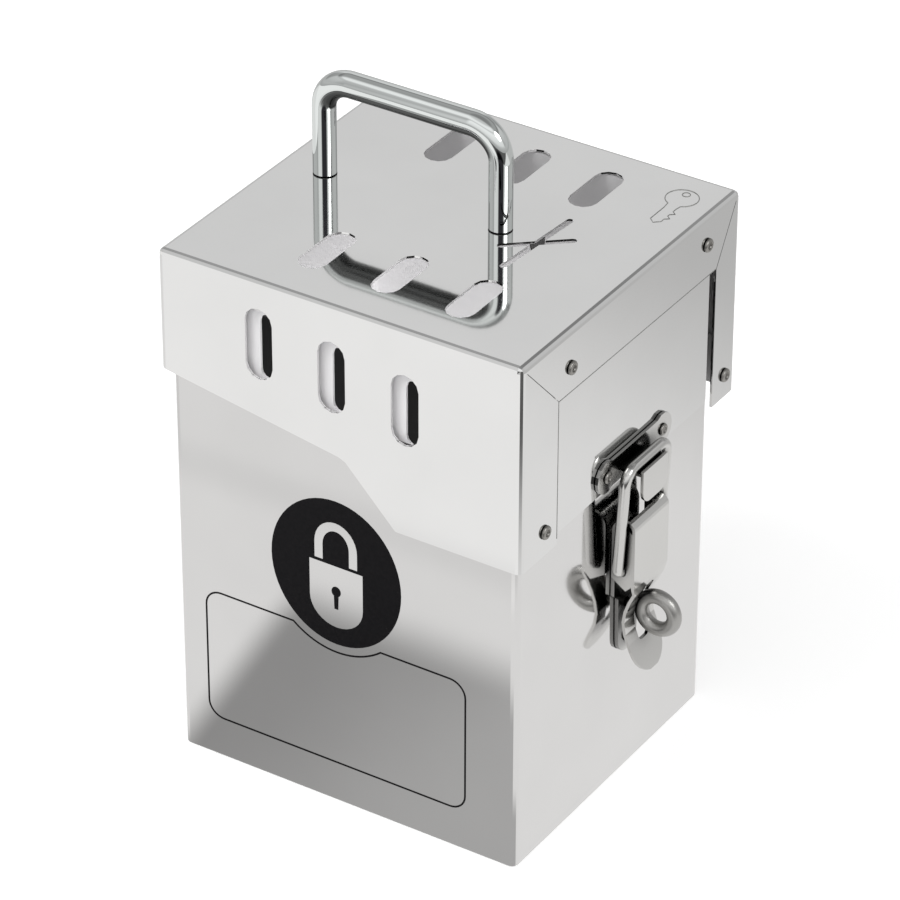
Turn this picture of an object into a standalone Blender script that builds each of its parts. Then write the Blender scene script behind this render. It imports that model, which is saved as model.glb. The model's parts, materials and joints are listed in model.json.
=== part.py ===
# Group lockout box: a folded stainless steel key box with a hinged, padlockable lid.
# Metres, +Z up. The origin is on the underside, below the middle of the lid.
# X runs along the front from the hinge side to the latch side, and Y from front to back.

import math

import bmesh
import bpy
from mathutils import Matrix, Vector

MM = 0.001

# Driving sizes
LID_WIDTH = 152.0 * MM
LID_DEPTH = 148.0 * MM
HEIGHT = 214.0 * MM
SHEET = 1.0 * MM
BEND = 2.2 * MM
GAP = 0.3 * MM
OVERRUN = 4.0 * MM
ARC_STEPS = 8

# The body stands inside the lid by these steps
SIDE_STEP = 3.0 * MM
FRONT_STEP = 3.0 * MM
BACK_STEP = 14.0 * MM

# The side panels lie just inside the lid's tabs
PANEL_OUTER_X = LID_WIDTH / 2 - SHEET - GAP
PANEL_INNER_X = PANEL_OUTER_X - SHEET

BODY_X = LID_WIDTH / 2 - SIDE_STEP
BODY_FRONT_Y = -LID_DEPTH / 2 + FRONT_STEP
BODY_BACK_Y = LID_DEPTH / 2 - BACK_STEP
WALL_TOP_Z = HEIGHT - SHEET - GAP

# The hinge pin's line, on the left wall
HINGE_DROP = 50.5 * MM
KNUCKLE_R = 2.5 * MM
HINGE_TUCK = 0.8 * MM
HINGE_X = -PANEL_OUTER_X - GAP - SHEET + HINGE_TUCK - KNUCKLE_R
HINGE_Z = HEIGHT - HINGE_DROP

# The latch's middle line, on the right wall
LATCH_Y = 2.8 * MM

# The handle's feet, counted from the hinge side
HANDLE_FOOT_INSET = 19.3 * MM
HANDLE_SPAN = 75.0 * MM
HANDLE_LEFT_X = -LID_WIDTH / 2 + HANDLE_FOOT_INSET
HANDLE_RIGHT_X = HANDLE_LEFT_X + HANDLE_SPAN


# Scene and helpers

for old in list(bpy.data.objects):
    bpy.data.objects.remove(old, do_unlink=True)


def new_collection(name):
    made = bpy.data.collections.new(name)
    bpy.context.scene.collection.children.link(made)
    return made


PARTS = new_collection("group_lockout_box")
CUTTERS = new_collection("cutters")


def material(name, colour, roughness, metallic):
    made = bpy.data.materials.new(name)
    made.use_nodes = True
    shader = made.node_tree.nodes["Principled BSDF"]
    shader.inputs["Base Color"].default_value = (*colour, 1.0)
    shader.inputs["Roughness"].default_value = roughness
    shader.inputs["Metallic"].default_value = metallic
    return made


SHEET_STEEL = material("bright_sheet_steel", (0.74, 0.74, 0.73), 0.16, 1.0)
LATCH_STEEL = material("latch_steel", (0.60, 0.59, 0.57), 0.24, 1.0)
CHROME = material("bright_chrome", (0.80, 0.81, 0.82), 0.05, 1.0)
RIVET_METAL = material("rivet_metal", (0.55, 0.55, 0.54), 0.32, 1.0)


def add_object(name, mesh, finish, cutter=False):
    """Link a mesh as a part, or as a hidden cutter."""
    made = bpy.data.objects.new(name, mesh)
    if cutter:
        CUTTERS.objects.link(made)
        made.hide_render = True
        made.display_type = "WIRE"
    else:
        PARTS.objects.link(made)
        mesh.materials.append(finish)
        mesh.shade_smooth()
        mesh.set_sharp_from_angle(angle=math.radians(35))
    return made


def mesh_from(name, bm):
    mesh = bpy.data.meshes.new(name)
    bmesh.ops.recalc_face_normals(bm, faces=bm.faces)
    bm.to_mesh(mesh)
    bm.free()
    return mesh


def curve_mesh(name, curve, weld):
    """Turn a curve into a closed mesh, with its caps welded on."""
    holder = bpy.data.objects.new(name + "_curve", curve)
    bpy.context.scene.collection.objects.link(holder)
    graph = bpy.context.evaluated_depsgraph_get()
    mesh = bpy.data.meshes.new_from_object(holder.evaluated_get(graph))
    bpy.data.objects.remove(holder, do_unlink=True)
    bm = bmesh.new()
    bm.from_mesh(mesh)
    bmesh.ops.remove_doubles(bm, verts=bm.verts, dist=weld)
    bpy.data.meshes.remove(mesh)
    return mesh_from(name, bm)


# Each plane gives the world directions of an outline's two axes and of its thickness
PLANES = {
    "XY": Matrix(((1, 0, 0), (0, 1, 0), (0, 0, 1))),
    "YZ": Matrix(((0, 0, 1), (1, 0, 0), (0, 1, 0))),
    "XZ": Matrix(((1, 0, 0), (0, 0, -1), (0, 1, 0))),
}
WELD = 0.002 * MM


def prism(name, outline, plane, low, high, finish=None):
    """Fill a flat outline and carry it from low to high, square to its plane."""
    curve = bpy.data.curves.new(name, "CURVE")
    curve.dimensions = "2D"
    curve.fill_mode = "BOTH"
    curve.extrude = (high - low) / 2
    spline = curve.splines.new("POLY")
    spline.points.add(len(outline) - 1)
    for point, place in zip(spline.points, outline):
        point.co = (place[0], place[1], 0, 1)
    spline.use_cyclic_u = True
    mesh = curve_mesh(name, curve, WELD)
    turn = PLANES[plane]
    middle = (low + high) / 2
    if plane == "XZ":
        middle = -middle
    shift = Matrix.Translation((0, 0, middle))
    mesh.transform(turn.to_4x4() @ shift)
    return add_object(name, mesh, finish, cutter=finish is None)


def arc(centre, radius, start, end, steps=ARC_STEPS):
    """Points on an arc, from start to end in degrees."""
    points = []
    for step in range(steps + 1):
        angle = math.radians(start + (end - start) * step / steps)
        points.append((centre[0] + radius * math.cos(angle), centre[1] + radius * math.sin(angle)))
    return points


def rectangle(low, high):
    return [(low[0], low[1]), (high[0], low[1]), (high[0], high[1]), (low[0], high[1])]


def rounded(low, high, radius, steps=3):
    """A rectangle with round corners."""
    points = []
    points += arc((high[0] - radius, low[1] + radius), radius, -90, 0, steps)
    points += arc((high[0] - radius, high[1] - radius), radius, 0, 90, steps)
    points += arc((low[0] + radius, high[1] - radius), radius, 90, 180, steps)
    points += arc((low[0] + radius, low[1] + radius), radius, 180, 270, steps)
    return points


def stadium(start, end, width, steps=6):
    """A slot's outline between the centres of its round ends."""
    heading = math.degrees(math.atan2(end[1] - start[1], end[0] - start[0]))
    points = arc(end, width / 2, heading - 90, heading + 90, steps)
    points += arc(start, width / 2, heading + 90, heading + 270, steps)
    return points


def turned(name, profile, centre, direction, finish=None, steps=14):
    """Turn a profile of radius and height pairs, from top to bottom, about a line."""
    mesh = bpy.data.meshes.new(name)
    closed = profile[0] == profile[-1]
    verts = [(radius, 0, height) for radius, height in (profile[:-1] if closed else profile)]
    edges = [(index, (index + 1) % len(verts)) for index in range(len(profile) - 1)]
    mesh.from_pydata(verts, edges, [])
    made = add_object(name, mesh, finish, cutter=finish is None)
    screw = made.modifiers.new("turn", "SCREW")
    screw.axis = "Z"
    screw.steps = steps
    screw.render_steps = steps
    screw.use_merge_vertices = True
    screw.merge_threshold = WELD
    screw.use_smooth_shade = True
    made.location = centre
    made.rotation_mode = "QUATERNION"
    made.rotation_quaternion = Vector((0, 0, 1)).rotation_difference(Vector(direction))
    return made


def hole(name, radius, centre, direction, length, steps=14):
    """A round cutter, centred on a point."""
    profile = [(0, length / 2), (radius, length / 2), (radius, -length / 2), (0, -length / 2)]
    return turned(name, profile, centre, direction, None, steps)


def cut(target, cutter):
    change = target.modifiers.new("cut_" + cutter.name, "BOOLEAN")
    change.operation = "DIFFERENCE"
    change.solver = "EXACT"
    change.object = cutter


def join(target, piece):
    """Weld a second solid to a first one. The second stays as a hidden guide."""
    change = target.modifiers.new("join_" + piece.name, "BOOLEAN")
    change.operation = "UNION"
    change.solver = "EXACT"
    change.object = piece


def open_box(name, low, high, open_faces, bent_edges, radius, finish):
    """Fold sheet into an open box: remove faces, bend edges, and give it its thickness inwards."""
    bm = bmesh.new()
    bmesh.ops.create_cube(bm, size=1)
    size = [high[axis] - low[axis] for axis in range(3)]
    middle = [(high[axis] + low[axis]) / 2 for axis in range(3)]
    bmesh.ops.scale(bm, vec=size, verts=bm.verts)
    bmesh.ops.translate(bm, vec=middle, verts=bm.verts)
    doomed = [face for face in bm.faces if open_faces(face.normal)]
    bmesh.ops.delete(bm, geom=doomed, context="FACES_ONLY")
    edges = [edge for edge in bm.edges if not edge.is_boundary and bent_edges(edge)]
    bmesh.ops.bevel(bm, geom=edges, offset=radius, segments=3, profile=0.5, affect="EDGES")
    made = add_object(name, mesh_from(name, bm), finish)
    wall = made.modifiers.new("sheet", "SOLIDIFY")
    wall.thickness = SHEET
    wall.offset = -1
    wall.use_even_offset = True
    return made


def every_edge(edge):
    return True


# Blind rivets: a low dome with the mandrel's hollow, and a shank through the sheets

RIVET_HEAD_R = 2.7 * MM
RIVET_CROWN_SHARE = 0.78
RIVET_SHOULDER_SHARE = 0.86
RIVET_HEAD_HEIGHT = 1.1 * MM
RIVET_SHANK_R = 1.5 * MM
RIVET_HOLE_R = RIVET_SHANK_R + GAP
RIVET_HOLLOW_R = 1.5 * MM
RIVET_HOLLOW_DEPTH = 0.7 * MM
RIVET_EDGE = 0.35 * MM


def rivet(name, seat, direction, grip, head_r=RIVET_HEAD_R, head_height=RIVET_HEAD_HEIGHT):
    """A rivet whose head stands off the seat in a direction, and whose shank goes back through a grip."""
    profile = [
        (0, GAP + head_height - RIVET_HOLLOW_DEPTH),
        (RIVET_HOLLOW_R, GAP + head_height - RIVET_HOLLOW_DEPTH),
        (RIVET_HOLLOW_R, GAP + head_height),
        (head_r * RIVET_CROWN_SHARE, GAP + head_height * RIVET_SHOULDER_SHARE),
        (head_r, GAP + RIVET_EDGE),
        (head_r, GAP),
        (RIVET_SHANK_R, GAP),
        (RIVET_SHANK_R, -grip),
        (0, -grip),
    ]
    return turned(name, profile, seat, direction, RIVET_METAL)


# Body shell: one sheet wrapped into four walls, with padlock slots front and back

SLOT_LENGTH = 29.0 * MM
SLOT_WIDTH = 11.5 * MM
BODY_SLOT_LENGTH = 26.5 * MM
BODY_SLOT_WIDTH = 6.6 * MM
BODY_SLOT_SHIFT = 2.0 * MM
BODY_SLOT_LOWER = 2.1 * MM
SLOT_COUNT = 3
WALL_SLOT_FIRST_X = -33.0 * MM
WALL_SLOT_PITCH = 30.6 * MM
WALL_SLOT_FIRST_DROP = 25.6 * MM
WALL_SLOT_STEP_DOWN = 3.4 * MM
BODY_BEND = 2.5 * MM
SWING_CLEARANCE = 0.6 * MM

body_shell = open_box(
    "body_shell",
    (-BODY_X, BODY_FRONT_Y, 0),
    (BODY_X, BODY_BACK_Y, WALL_TOP_Z),
    lambda normal: abs(normal.z) > 0.5,
    every_edge,
    BODY_BEND,
    SHEET_STEEL,
)


def wall_slot_places():
    """Centres of the front and back slots, as X and Z pairs. The row steps down to the latch side."""
    for index in range(SLOT_COUNT):
        place_x = WALL_SLOT_FIRST_X + WALL_SLOT_PITCH * index
        place_z = HEIGHT - WALL_SLOT_FIRST_DROP - WALL_SLOT_STEP_DOWN * index
        yield index, place_x, place_z


def upright_slot(name, place_x, place_z, length, width):
    half = (length - width) / 2
    outline = stadium((place_x, place_z - half), (place_x, place_z + half), width)
    return prism(name, outline, "XZ", -LID_DEPTH / 2 - OVERRUN, LID_DEPTH / 2 + OVERRUN)


for index, place_x, place_z in wall_slot_places():
    slot_x = place_x + BODY_SLOT_SHIFT
    slot_z = place_z - BODY_SLOT_LOWER
    cut(body_shell, upright_slot(f"body_slot_{index}", slot_x, slot_z, BODY_SLOT_LENGTH, BODY_SLOT_WIDTH))

# The lid's right panel swings past this arc, so the walls stay inside it
swing_r = PANEL_INNER_X - HINGE_X - SWING_CLEARANCE
swing_start = math.degrees(math.acos((BODY_X - HINGE_X) / swing_r))
swing_end = math.degrees(math.asin((WALL_TOP_Z + OVERRUN - HINGE_Z) / swing_r))
relief = arc((HINGE_X, HINGE_Z), swing_r, swing_start, swing_end, 6)
relief.append((BODY_X + OVERRUN, relief[-1][1]))
relief.append((BODY_X + OVERRUN, relief[0][1]))
cut(body_shell, prism("swing_relief", relief, "XZ", -LID_DEPTH / 2, LID_DEPTH / 2))


# Floor pan: a shallow tray with its flanges turned up inside the walls

FLOOR_FLANGE = 12.0 * MM
PAN_BEND = 1.6 * MM
PAN_X = BODY_X - SHEET - GAP
PAN_FRONT_Y = BODY_FRONT_Y + SHEET + GAP
PAN_BACK_Y = BODY_BACK_Y - SHEET - GAP

floor_pan = open_box(
    "floor_pan",
    (-PAN_X, PAN_FRONT_Y, 0),
    (PAN_X, PAN_BACK_Y, FLOOR_FLANGE),
    lambda normal: normal.z > 0.5,
    every_edge,
    PAN_BEND,
    SHEET_STEEL,
)


# Lid shell: top, front and back flanges and their side tabs, folded from one sheet

LID_SKIRT = 85.0 * MM
FLANGE_LEFT_DROP = 49.0 * MM
FLANGE_MIDDLE_DROP = 61.0 * MM
FLANGE_STEP_TOP_X = 3.0 * MM
FLANGE_STEP_TOP_DROP = 62.2 * MM
FLANGE_STEP_LOW_X = 24.0 * MM
FRONT_TAB_WIDTH = 24.0 * MM
REAR_TAB_WIDTH = 16.0 * MM
FRONT_TAB_Y = -LID_DEPTH / 2 + FRONT_TAB_WIDTH
REAR_TAB_Y = LID_DEPTH / 2 - REAR_TAB_WIDTH
TOP_TAB_DROP = 25.0 * MM
MITRE_SLIT = 0.35 * MM
TOP_SLOT_PITCH = 30.8 * MM
FRONT_TOP_SLOT_X = -24.8 * MM
FRONT_TOP_SLOT_INSET = 31.3 * MM
FRONT_TOP_SLOT_Y = -LID_DEPTH / 2 + FRONT_TOP_SLOT_INSET
BACK_TOP_SLOT_X = -29.4 * MM
BACK_TOP_SLOT_INSET = 28.2 * MM
BACK_TOP_SLOT_Y = LID_DEPTH / 2 - BACK_TOP_SLOT_INSET
TOP_SLOT_LENGTH = 28.5 * MM
TOP_SLOT_WIDTH = 11.2 * MM
KEY_SLOT_WIDTH = 2.8 * MM
KEY_SLOT_OFF_HANDLE = 16.4 * MM
KEY_SLOT_CLEARANCE = 10.2 * MM
KEY_SLOT_X = HANDLE_RIGHT_X + KEY_SLOT_OFF_HANDLE
KEY_SLOT_Y = (FRONT_TOP_SLOT_Y + BACK_TOP_SLOT_Y) / 2
KEY_SLOT_LONG_X = 1.5 * MM
KEY_SLOT_LONG_Y = (BACK_TOP_SLOT_Y - FRONT_TOP_SLOT_Y - TOP_SLOT_LENGTH) / 2 - KEY_SLOT_CLEARANCE
KEY_SLOT_SHORT_X = 9.9 * MM
KEY_SLOT_SHORT_Y = 8.4 * MM

lid_shell = open_box(
    "lid_shell",
    (-LID_WIDTH / 2, -LID_DEPTH / 2, HEIGHT - LID_SKIRT),
    (LID_WIDTH / 2, LID_DEPTH / 2, HEIGHT),
    lambda normal: normal.z < -0.5,
    every_edge,
    BEND,
    SHEET_STEEL,
)

# The lower edge is shallow on the hinge side, steps down past the middle and stays level to the latch
flange_edge = [
    (-LID_WIDTH / 2 - OVERRUN, HEIGHT - FLANGE_LEFT_DROP),
    (-LID_WIDTH / 2, HEIGHT - FLANGE_LEFT_DROP),
    (0, HEIGHT - FLANGE_MIDDLE_DROP),
    (FLANGE_STEP_TOP_X, HEIGHT - FLANGE_STEP_TOP_DROP),
    (FLANGE_STEP_LOW_X, HEIGHT - LID_SKIRT + SHEET),
    (LID_WIDTH / 2 + OVERRUN, HEIGHT - LID_SKIRT + SHEET),
    (LID_WIDTH / 2 + OVERRUN, HEIGHT - LID_SKIRT - OVERRUN),
    (-LID_WIDTH / 2 - OVERRUN, HEIGHT - LID_SKIRT - OVERRUN),
]
cut(lid_shell, prism("flange_edge", flange_edge, "XZ", -LID_DEPTH / 2 - OVERRUN, LID_DEPTH / 2 + OVERRUN))

for index, place_x, place_z in wall_slot_places():
    cut(lid_shell, upright_slot(f"lid_slot_{index}", place_x, place_z, SLOT_LENGTH, SLOT_WIDTH))


def top_slots(name, first_x, place_y):
    half = (TOP_SLOT_LENGTH - TOP_SLOT_WIDTH) / 2
    for index in range(SLOT_COUNT):
        place_x = first_x + TOP_SLOT_PITCH * index
        outline = stadium((place_x, place_y - half), (place_x, place_y + half), TOP_SLOT_WIDTH)
        cut(lid_shell, prism(f"{name}_{index}", outline, "XY", HEIGHT - OVERRUN, HEIGHT + OVERRUN))


top_slots("front_top_slot", FRONT_TOP_SLOT_X, FRONT_TOP_SLOT_Y)
top_slots("back_top_slot", BACK_TOP_SLOT_X, BACK_TOP_SLOT_Y)

# The crossed key slot lets a key drop in and not come out
long_stroke = stadium(
    (KEY_SLOT_X - KEY_SLOT_LONG_X, KEY_SLOT_Y - KEY_SLOT_LONG_Y),
    (KEY_SLOT_X + KEY_SLOT_LONG_X, KEY_SLOT_Y + KEY_SLOT_LONG_Y),
    KEY_SLOT_WIDTH,
    4,
)
short_stroke = stadium(
    (KEY_SLOT_X - KEY_SLOT_SHORT_X, KEY_SLOT_Y - KEY_SLOT_SHORT_Y),
    (KEY_SLOT_X + KEY_SLOT_SHORT_X, KEY_SLOT_Y + KEY_SLOT_SHORT_Y),
    KEY_SLOT_WIDTH,
    4,
)
cut(lid_shell, prism("key_slot_long", long_stroke, "XY", HEIGHT - OVERRUN, HEIGHT + OVERRUN))
cut(lid_shell, prism("key_slot_short", short_stroke, "XY", HEIGHT - OVERRUN, HEIGHT + OVERRUN))


def mitre(name, side, window_y, corner_y):
    """A slit from the window's upper corner towards the lid's corner, where two tabs meet."""
    inset = BEND + SHEET
    start = (corner_y + math.copysign(inset, window_y - corner_y), HEIGHT - inset)
    end = (window_y, HEIGHT - TOP_TAB_DROP)
    low, high = side_span(side)
    return prism(name, stadium(start, end, MITRE_SLIT, 2), "YZ", low, high)


def side_span(side):
    """From just inside a side wall of the lid to just outside it, on the +1 or -1 side."""
    inner = side * (LID_WIDTH / 2 - SHEET - BEND)
    outer = side * (LID_WIDTH / 2 + OVERRUN)
    return min(inner, outer), max(inner, outer)


for side, word in ((1, "right"), (-1, "left")):
    low, high = side_span(side)
    window = rectangle((FRONT_TAB_Y, HEIGHT - LID_SKIRT - OVERRUN), (REAR_TAB_Y, HEIGHT - TOP_TAB_DROP))
    cut(lid_shell, prism(f"{word}_window", window, "YZ", low, high))
    cut(lid_shell, mitre(f"{word}_front_mitre", side, FRONT_TAB_Y, -LID_DEPTH / 2))
    cut(lid_shell, mitre(f"{word}_rear_mitre", side, REAR_TAB_Y, LID_DEPTH / 2))


# Lid side panels: flat plates riveted behind the tabs, deep at the latch and shallow at the hinge

PANEL_FRONT_Y = -LID_DEPTH / 2 + BEND
PANEL_REAR_GAP = 2.5 * MM
PANEL_REAR_Y = REAR_TAB_Y - PANEL_REAR_GAP
RIGHT_PANEL_DROP = 81.0 * MM
LEFT_PANEL_DROP = 46.0 * MM
PANEL_CORNER_R = 1.5 * MM

panels = {}
for side, word, drop in ((1, "right", RIGHT_PANEL_DROP), (-1, "left", LEFT_PANEL_DROP)):
    outline = rounded((PANEL_FRONT_Y, HEIGHT - drop), (PANEL_REAR_Y, HEIGHT - BEND), PANEL_CORNER_R)
    low = min(side * PANEL_INNER_X, side * PANEL_OUTER_X)
    panels[side] = prism(f"lid_{word}_panel", outline, "YZ", low, low + SHEET, SHEET_STEEL)


# Rear angles: small brackets that tie each rear tab to the back flange

ANGLE_LENGTH = 18.0 * MM
ANGLE_LEG = 8.0 * MM
ANGLE_LIFT = 3.0 * MM
REAR_RIVET_INSET = 7.5 * MM
REAR_RIVET_Y = LID_DEPTH / 2 - REAR_RIVET_INSET
angles = {}
for side, word, edge_drop in ((1, "right", LID_SKIRT - SHEET), (-1, "left", FLANGE_LEFT_DROP)):
    outer_x = LID_WIDTH / 2 - SHEET - GAP
    outer_y = LID_DEPTH / 2 - SHEET - GAP
    corner = [
        (outer_x, outer_y - BEND - ANGLE_LEG),
        (outer_x, outer_y - BEND),
        (outer_x - BEND, outer_y),
        (outer_x - BEND - ANGLE_LEG, outer_y),
        (outer_x - BEND - ANGLE_LEG, outer_y - SHEET),
        (outer_x - BEND, outer_y - SHEET),
        (outer_x - SHEET, outer_y - BEND),
        (outer_x - SHEET, outer_y - BEND - ANGLE_LEG),
    ]
    outline = [(side * point[0], point[1]) for point in corner]
    low = HEIGHT - edge_drop + ANGLE_LIFT
    angles[side] = prism(f"lid_rear_angle_{word}", outline, "XY", low, low + ANGLE_LENGTH, SHEET_STEEL)


# Lid rivets: four on each side, through the tabs

TAB_RIVET_INSET = 16.0 * MM
TOP_FRONT_RIVET_INSET = 32.0 * MM
TOP_REAR_RIVET_INSET = 23.2 * MM
TAB_RIVET_Y = -LID_DEPTH / 2 + TAB_RIVET_INSET
TOP_FRONT_RIVET_Y = -LID_DEPTH / 2 + TOP_FRONT_RIVET_INSET
TOP_REAR_RIVET_Y = LID_DEPTH / 2 - TOP_REAR_RIVET_INSET
TOP_FRONT_RIVET_DROP = 15.2 * MM
TOP_REAR_RIVET_DROP = 11.8 * MM
LOW_RIVET_LIFT = 9.6 * MM
RIVET_TAIL_INSET = 0.2 * MM
TAB_GRIP = SHEET + GAP + SHEET - RIVET_TAIL_INSET

for side, word, edge_drop in ((1, "right", LID_SKIRT - SHEET), (-1, "left", FLANGE_LEFT_DROP)):
    low_z = HEIGHT - edge_drop + LOW_RIVET_LIFT
    places = {
        "front_tab": (TAB_RIVET_Y, low_z, panels[side]),
        "top_front": (TOP_FRONT_RIVET_Y, HEIGHT - TOP_FRONT_RIVET_DROP, panels[side]),
        "top_rear": (TOP_REAR_RIVET_Y, HEIGHT - TOP_REAR_RIVET_DROP, panels[side]),
        "rear_tab": (REAR_RIVET_Y, low_z, angles[side]),
    }
    for place, (rivet_y, rivet_z, behind) in places.items():
        seat = (side * LID_WIDTH / 2, rivet_y, rivet_z)
        rivet(f"lid_rivet_{word}_{place}", seat, (side, 0, 0), TAB_GRIP)
        bore = hole(f"hole_{word}_{place}", RIVET_HOLE_R, seat, (1, 0, 0), 2 * OVERRUN)
        cut(lid_shell, bore)
        cut(behind, bore)


# Hinge: two leaves with interleaved knuckles on one pin, on the left wall

HINGE_END_CLEARANCE = 4.0 * MM
HINGE_LENGTH = REAR_TAB_Y - FRONT_TAB_Y - 2 * HINGE_END_CLEARANCE
HINGE_MIDDLE_Y = (FRONT_TAB_Y + REAR_TAB_Y) / 2
KNUCKLES = 5
HINGE_PIN_R = 1.2 * MM
HINGE_BORE_R = HINGE_PIN_R + GAP
LEAF_HEIGHT = 17.0 * MM
LEAF_THICKNESS = SHEET
NECK_DROP = 3.4 * MM
NECK_WIDTH = 1.6 * MM
NECK_SIDE_SHARE = 0.8
NECK_TOP_SHARE = 0.35
NECK_INNER_SHARE = 0.2
KNUCKLE_CLEARANCE = 0.4 * MM
PIN_HEAD_R = 2.1 * MM
PIN_HEAD_THICKNESS = 0.8 * MM
HINGE_RIVETS = 3
HINGE_RIVET_INSET = 14.0 * MM
HINGE_RIVET_PITCH = (HINGE_LENGTH - 2 * HINGE_RIVET_INSET) / (HINGE_RIVETS - 1)
HINGE_RIVET_DROP = 12.0 * MM

hinge_front_y = HINGE_MIDDLE_Y - HINGE_LENGTH / 2
hinge_back_y = HINGE_MIDDLE_Y + HINGE_LENGTH / 2
knuckle_length = HINGE_LENGTH / KNUCKLES
lid_leaf_x = -PANEL_OUTER_X - GAP - LEAF_THICKNESS
body_leaf_x = -BODY_X - GAP - LEAF_THICKNESS

lid_leaf_outline = rectangle((lid_leaf_x, HINGE_Z), (lid_leaf_x + LEAF_THICKNESS, HINGE_Z + LEAF_HEIGHT))
hinge_leaf_lid = prism("hinge_leaf_lid", lid_leaf_outline, "XZ", hinge_front_y, hinge_back_y, LATCH_STEEL)
neck_z = HINGE_Z - NECK_DROP
body_leaf_outline = [
    (body_leaf_x, neck_z - LEAF_HEIGHT),
    (body_leaf_x + LEAF_THICKNESS, neck_z - LEAF_HEIGHT),
    (body_leaf_x + LEAF_THICKNESS, neck_z),
    (HINGE_X + KNUCKLE_R * NECK_SIDE_SHARE, HINGE_Z - KNUCKLE_R * NECK_TOP_SHARE),
    (HINGE_X + KNUCKLE_R * NECK_INNER_SHARE, HINGE_Z - KNUCKLE_R * NECK_SIDE_SHARE),
    (body_leaf_x, neck_z - NECK_WIDTH),
]
hinge_leaf_body = prism("hinge_leaf_body", body_leaf_outline, "XZ", hinge_front_y, hinge_back_y, LATCH_STEEL)

knuckle_line = hole("knuckle_line", KNUCKLE_R, (HINGE_X, HINGE_MIDDLE_Y, HINGE_Z), (0, 1, 0), HINGE_LENGTH, 16)
knuckle_bore = hole(
    "knuckle_bore", HINGE_BORE_R, (HINGE_X, HINGE_MIDDLE_Y, HINGE_Z), (0, 1, 0), HINGE_LENGTH + OVERRUN, 12
)
join(hinge_leaf_lid, knuckle_line)
join(hinge_leaf_body, knuckle_line)
cut(hinge_leaf_lid, knuckle_bore)
cut(hinge_leaf_body, knuckle_bore)

for index in range(KNUCKLES):
    low_y = hinge_front_y + knuckle_length * index
    high_y = low_y + knuckle_length
    room = KNUCKLE_R + KNUCKLE_CLEARANCE
    first = index == 0
    last = index == KNUCKLES - 1
    clear_low = low_y - (OVERRUN if first else GAP / 2)
    clear_high = high_y + (OVERRUN if last else GAP / 2)
    clear_box = rectangle((HINGE_X - room, HINGE_Z - NECK_DROP - NECK_WIDTH), (HINGE_X + room, HINGE_Z + room))
    if index % 2 == 0:
        # An even knuckle belongs to the lid, and the body's leaf is cut back around it
        body_room = rectangle((HINGE_X - room, neck_z - GAP), (-BODY_X + OVERRUN, HINGE_Z + room))
        cut(hinge_leaf_body, prism(f"lid_knuckle_{index}", body_room, "XZ", clear_low, clear_high))
    else:
        cut(hinge_leaf_lid, prism(f"body_knuckle_{index}", clear_box, "XZ", clear_low, clear_high))

pin_half = HINGE_LENGTH / 2 + GAP
pin_profile = [
    (0, pin_half + PIN_HEAD_THICKNESS),
    (PIN_HEAD_R, pin_half + PIN_HEAD_THICKNESS),
    (PIN_HEAD_R, pin_half),
    (HINGE_PIN_R, pin_half),
    (HINGE_PIN_R, -pin_half),
    (PIN_HEAD_R, -pin_half),
    (PIN_HEAD_R, -pin_half - PIN_HEAD_THICKNESS),
    (0, -pin_half - PIN_HEAD_THICKNESS),
]
turned("hinge_pin", pin_profile, (HINGE_X, HINGE_MIDDLE_Y, HINGE_Z), (0, 1, 0), LATCH_STEEL, 12)

for index in range(HINGE_RIVETS):
    rivet_y = HINGE_MIDDLE_Y + HINGE_RIVET_PITCH * (index - (HINGE_RIVETS - 1) / 2)
    lid_seat = (lid_leaf_x, rivet_y, HINGE_Z + HINGE_RIVET_DROP)
    body_seat = (body_leaf_x, rivet_y, neck_z - HINGE_RIVET_DROP)
    hinge_grip = LEAF_THICKNESS + GAP + SHEET - RIVET_TAIL_INSET
    for word, seat, leaf, wall in (
        ("lid", lid_seat, hinge_leaf_lid, panels[-1]),
        ("body", body_seat, hinge_leaf_body, body_shell),
    ):
        rivet(f"hinge_rivet_{word}_{index + 1}", seat, (-1, 0, 0), hinge_grip)
        bore = hole(f"hinge_hole_{word}_{index}", RIVET_HOLE_R, seat, (1, 0, 0), 2 * OVERRUN)
        cut(leaf, bore)
        cut(wall, bore)


# Handle: a bright round bar bent into a U, screwed on from inside the lid

HANDLE_BAR_R = 4.8 * MM
HANDLE_Y = 3.5 * MM
HANDLE_RISE = 39.3 * MM
HANDLE_BEND_R = 12.0 * MM
HANDLE_SCREW_R = 2.2 * MM
HANDLE_SCREW_DEPTH = 12.0 * MM
WASHER_R = 6.0 * MM
WASHER_THICKNESS = 0.6 * MM
SCREW_HEAD_R = 4.2 * MM
SCREW_HEAD_HEIGHT = 1.0 * MM
SCREW_CROWN_SHARE = 0.7
SCREW_HOLE_R = HANDLE_SCREW_R + GAP


def tube(name, points, radius, finish, sides=3, weld=WELD):
    """A round bar along a list of points, with closed ends."""
    curve = bpy.data.curves.new(name, "CURVE")
    curve.dimensions = "3D"
    curve.bevel_depth = radius
    curve.bevel_resolution = sides
    curve.use_fill_caps = True
    spline = curve.splines.new("POLY")
    spline.points.add(len(points) - 1)
    for point, place in zip(spline.points, points):
        point.co = (*place, 1)
    return add_object(name, curve_mesh(name, curve, weld), finish, cutter=finish is None)


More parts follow.
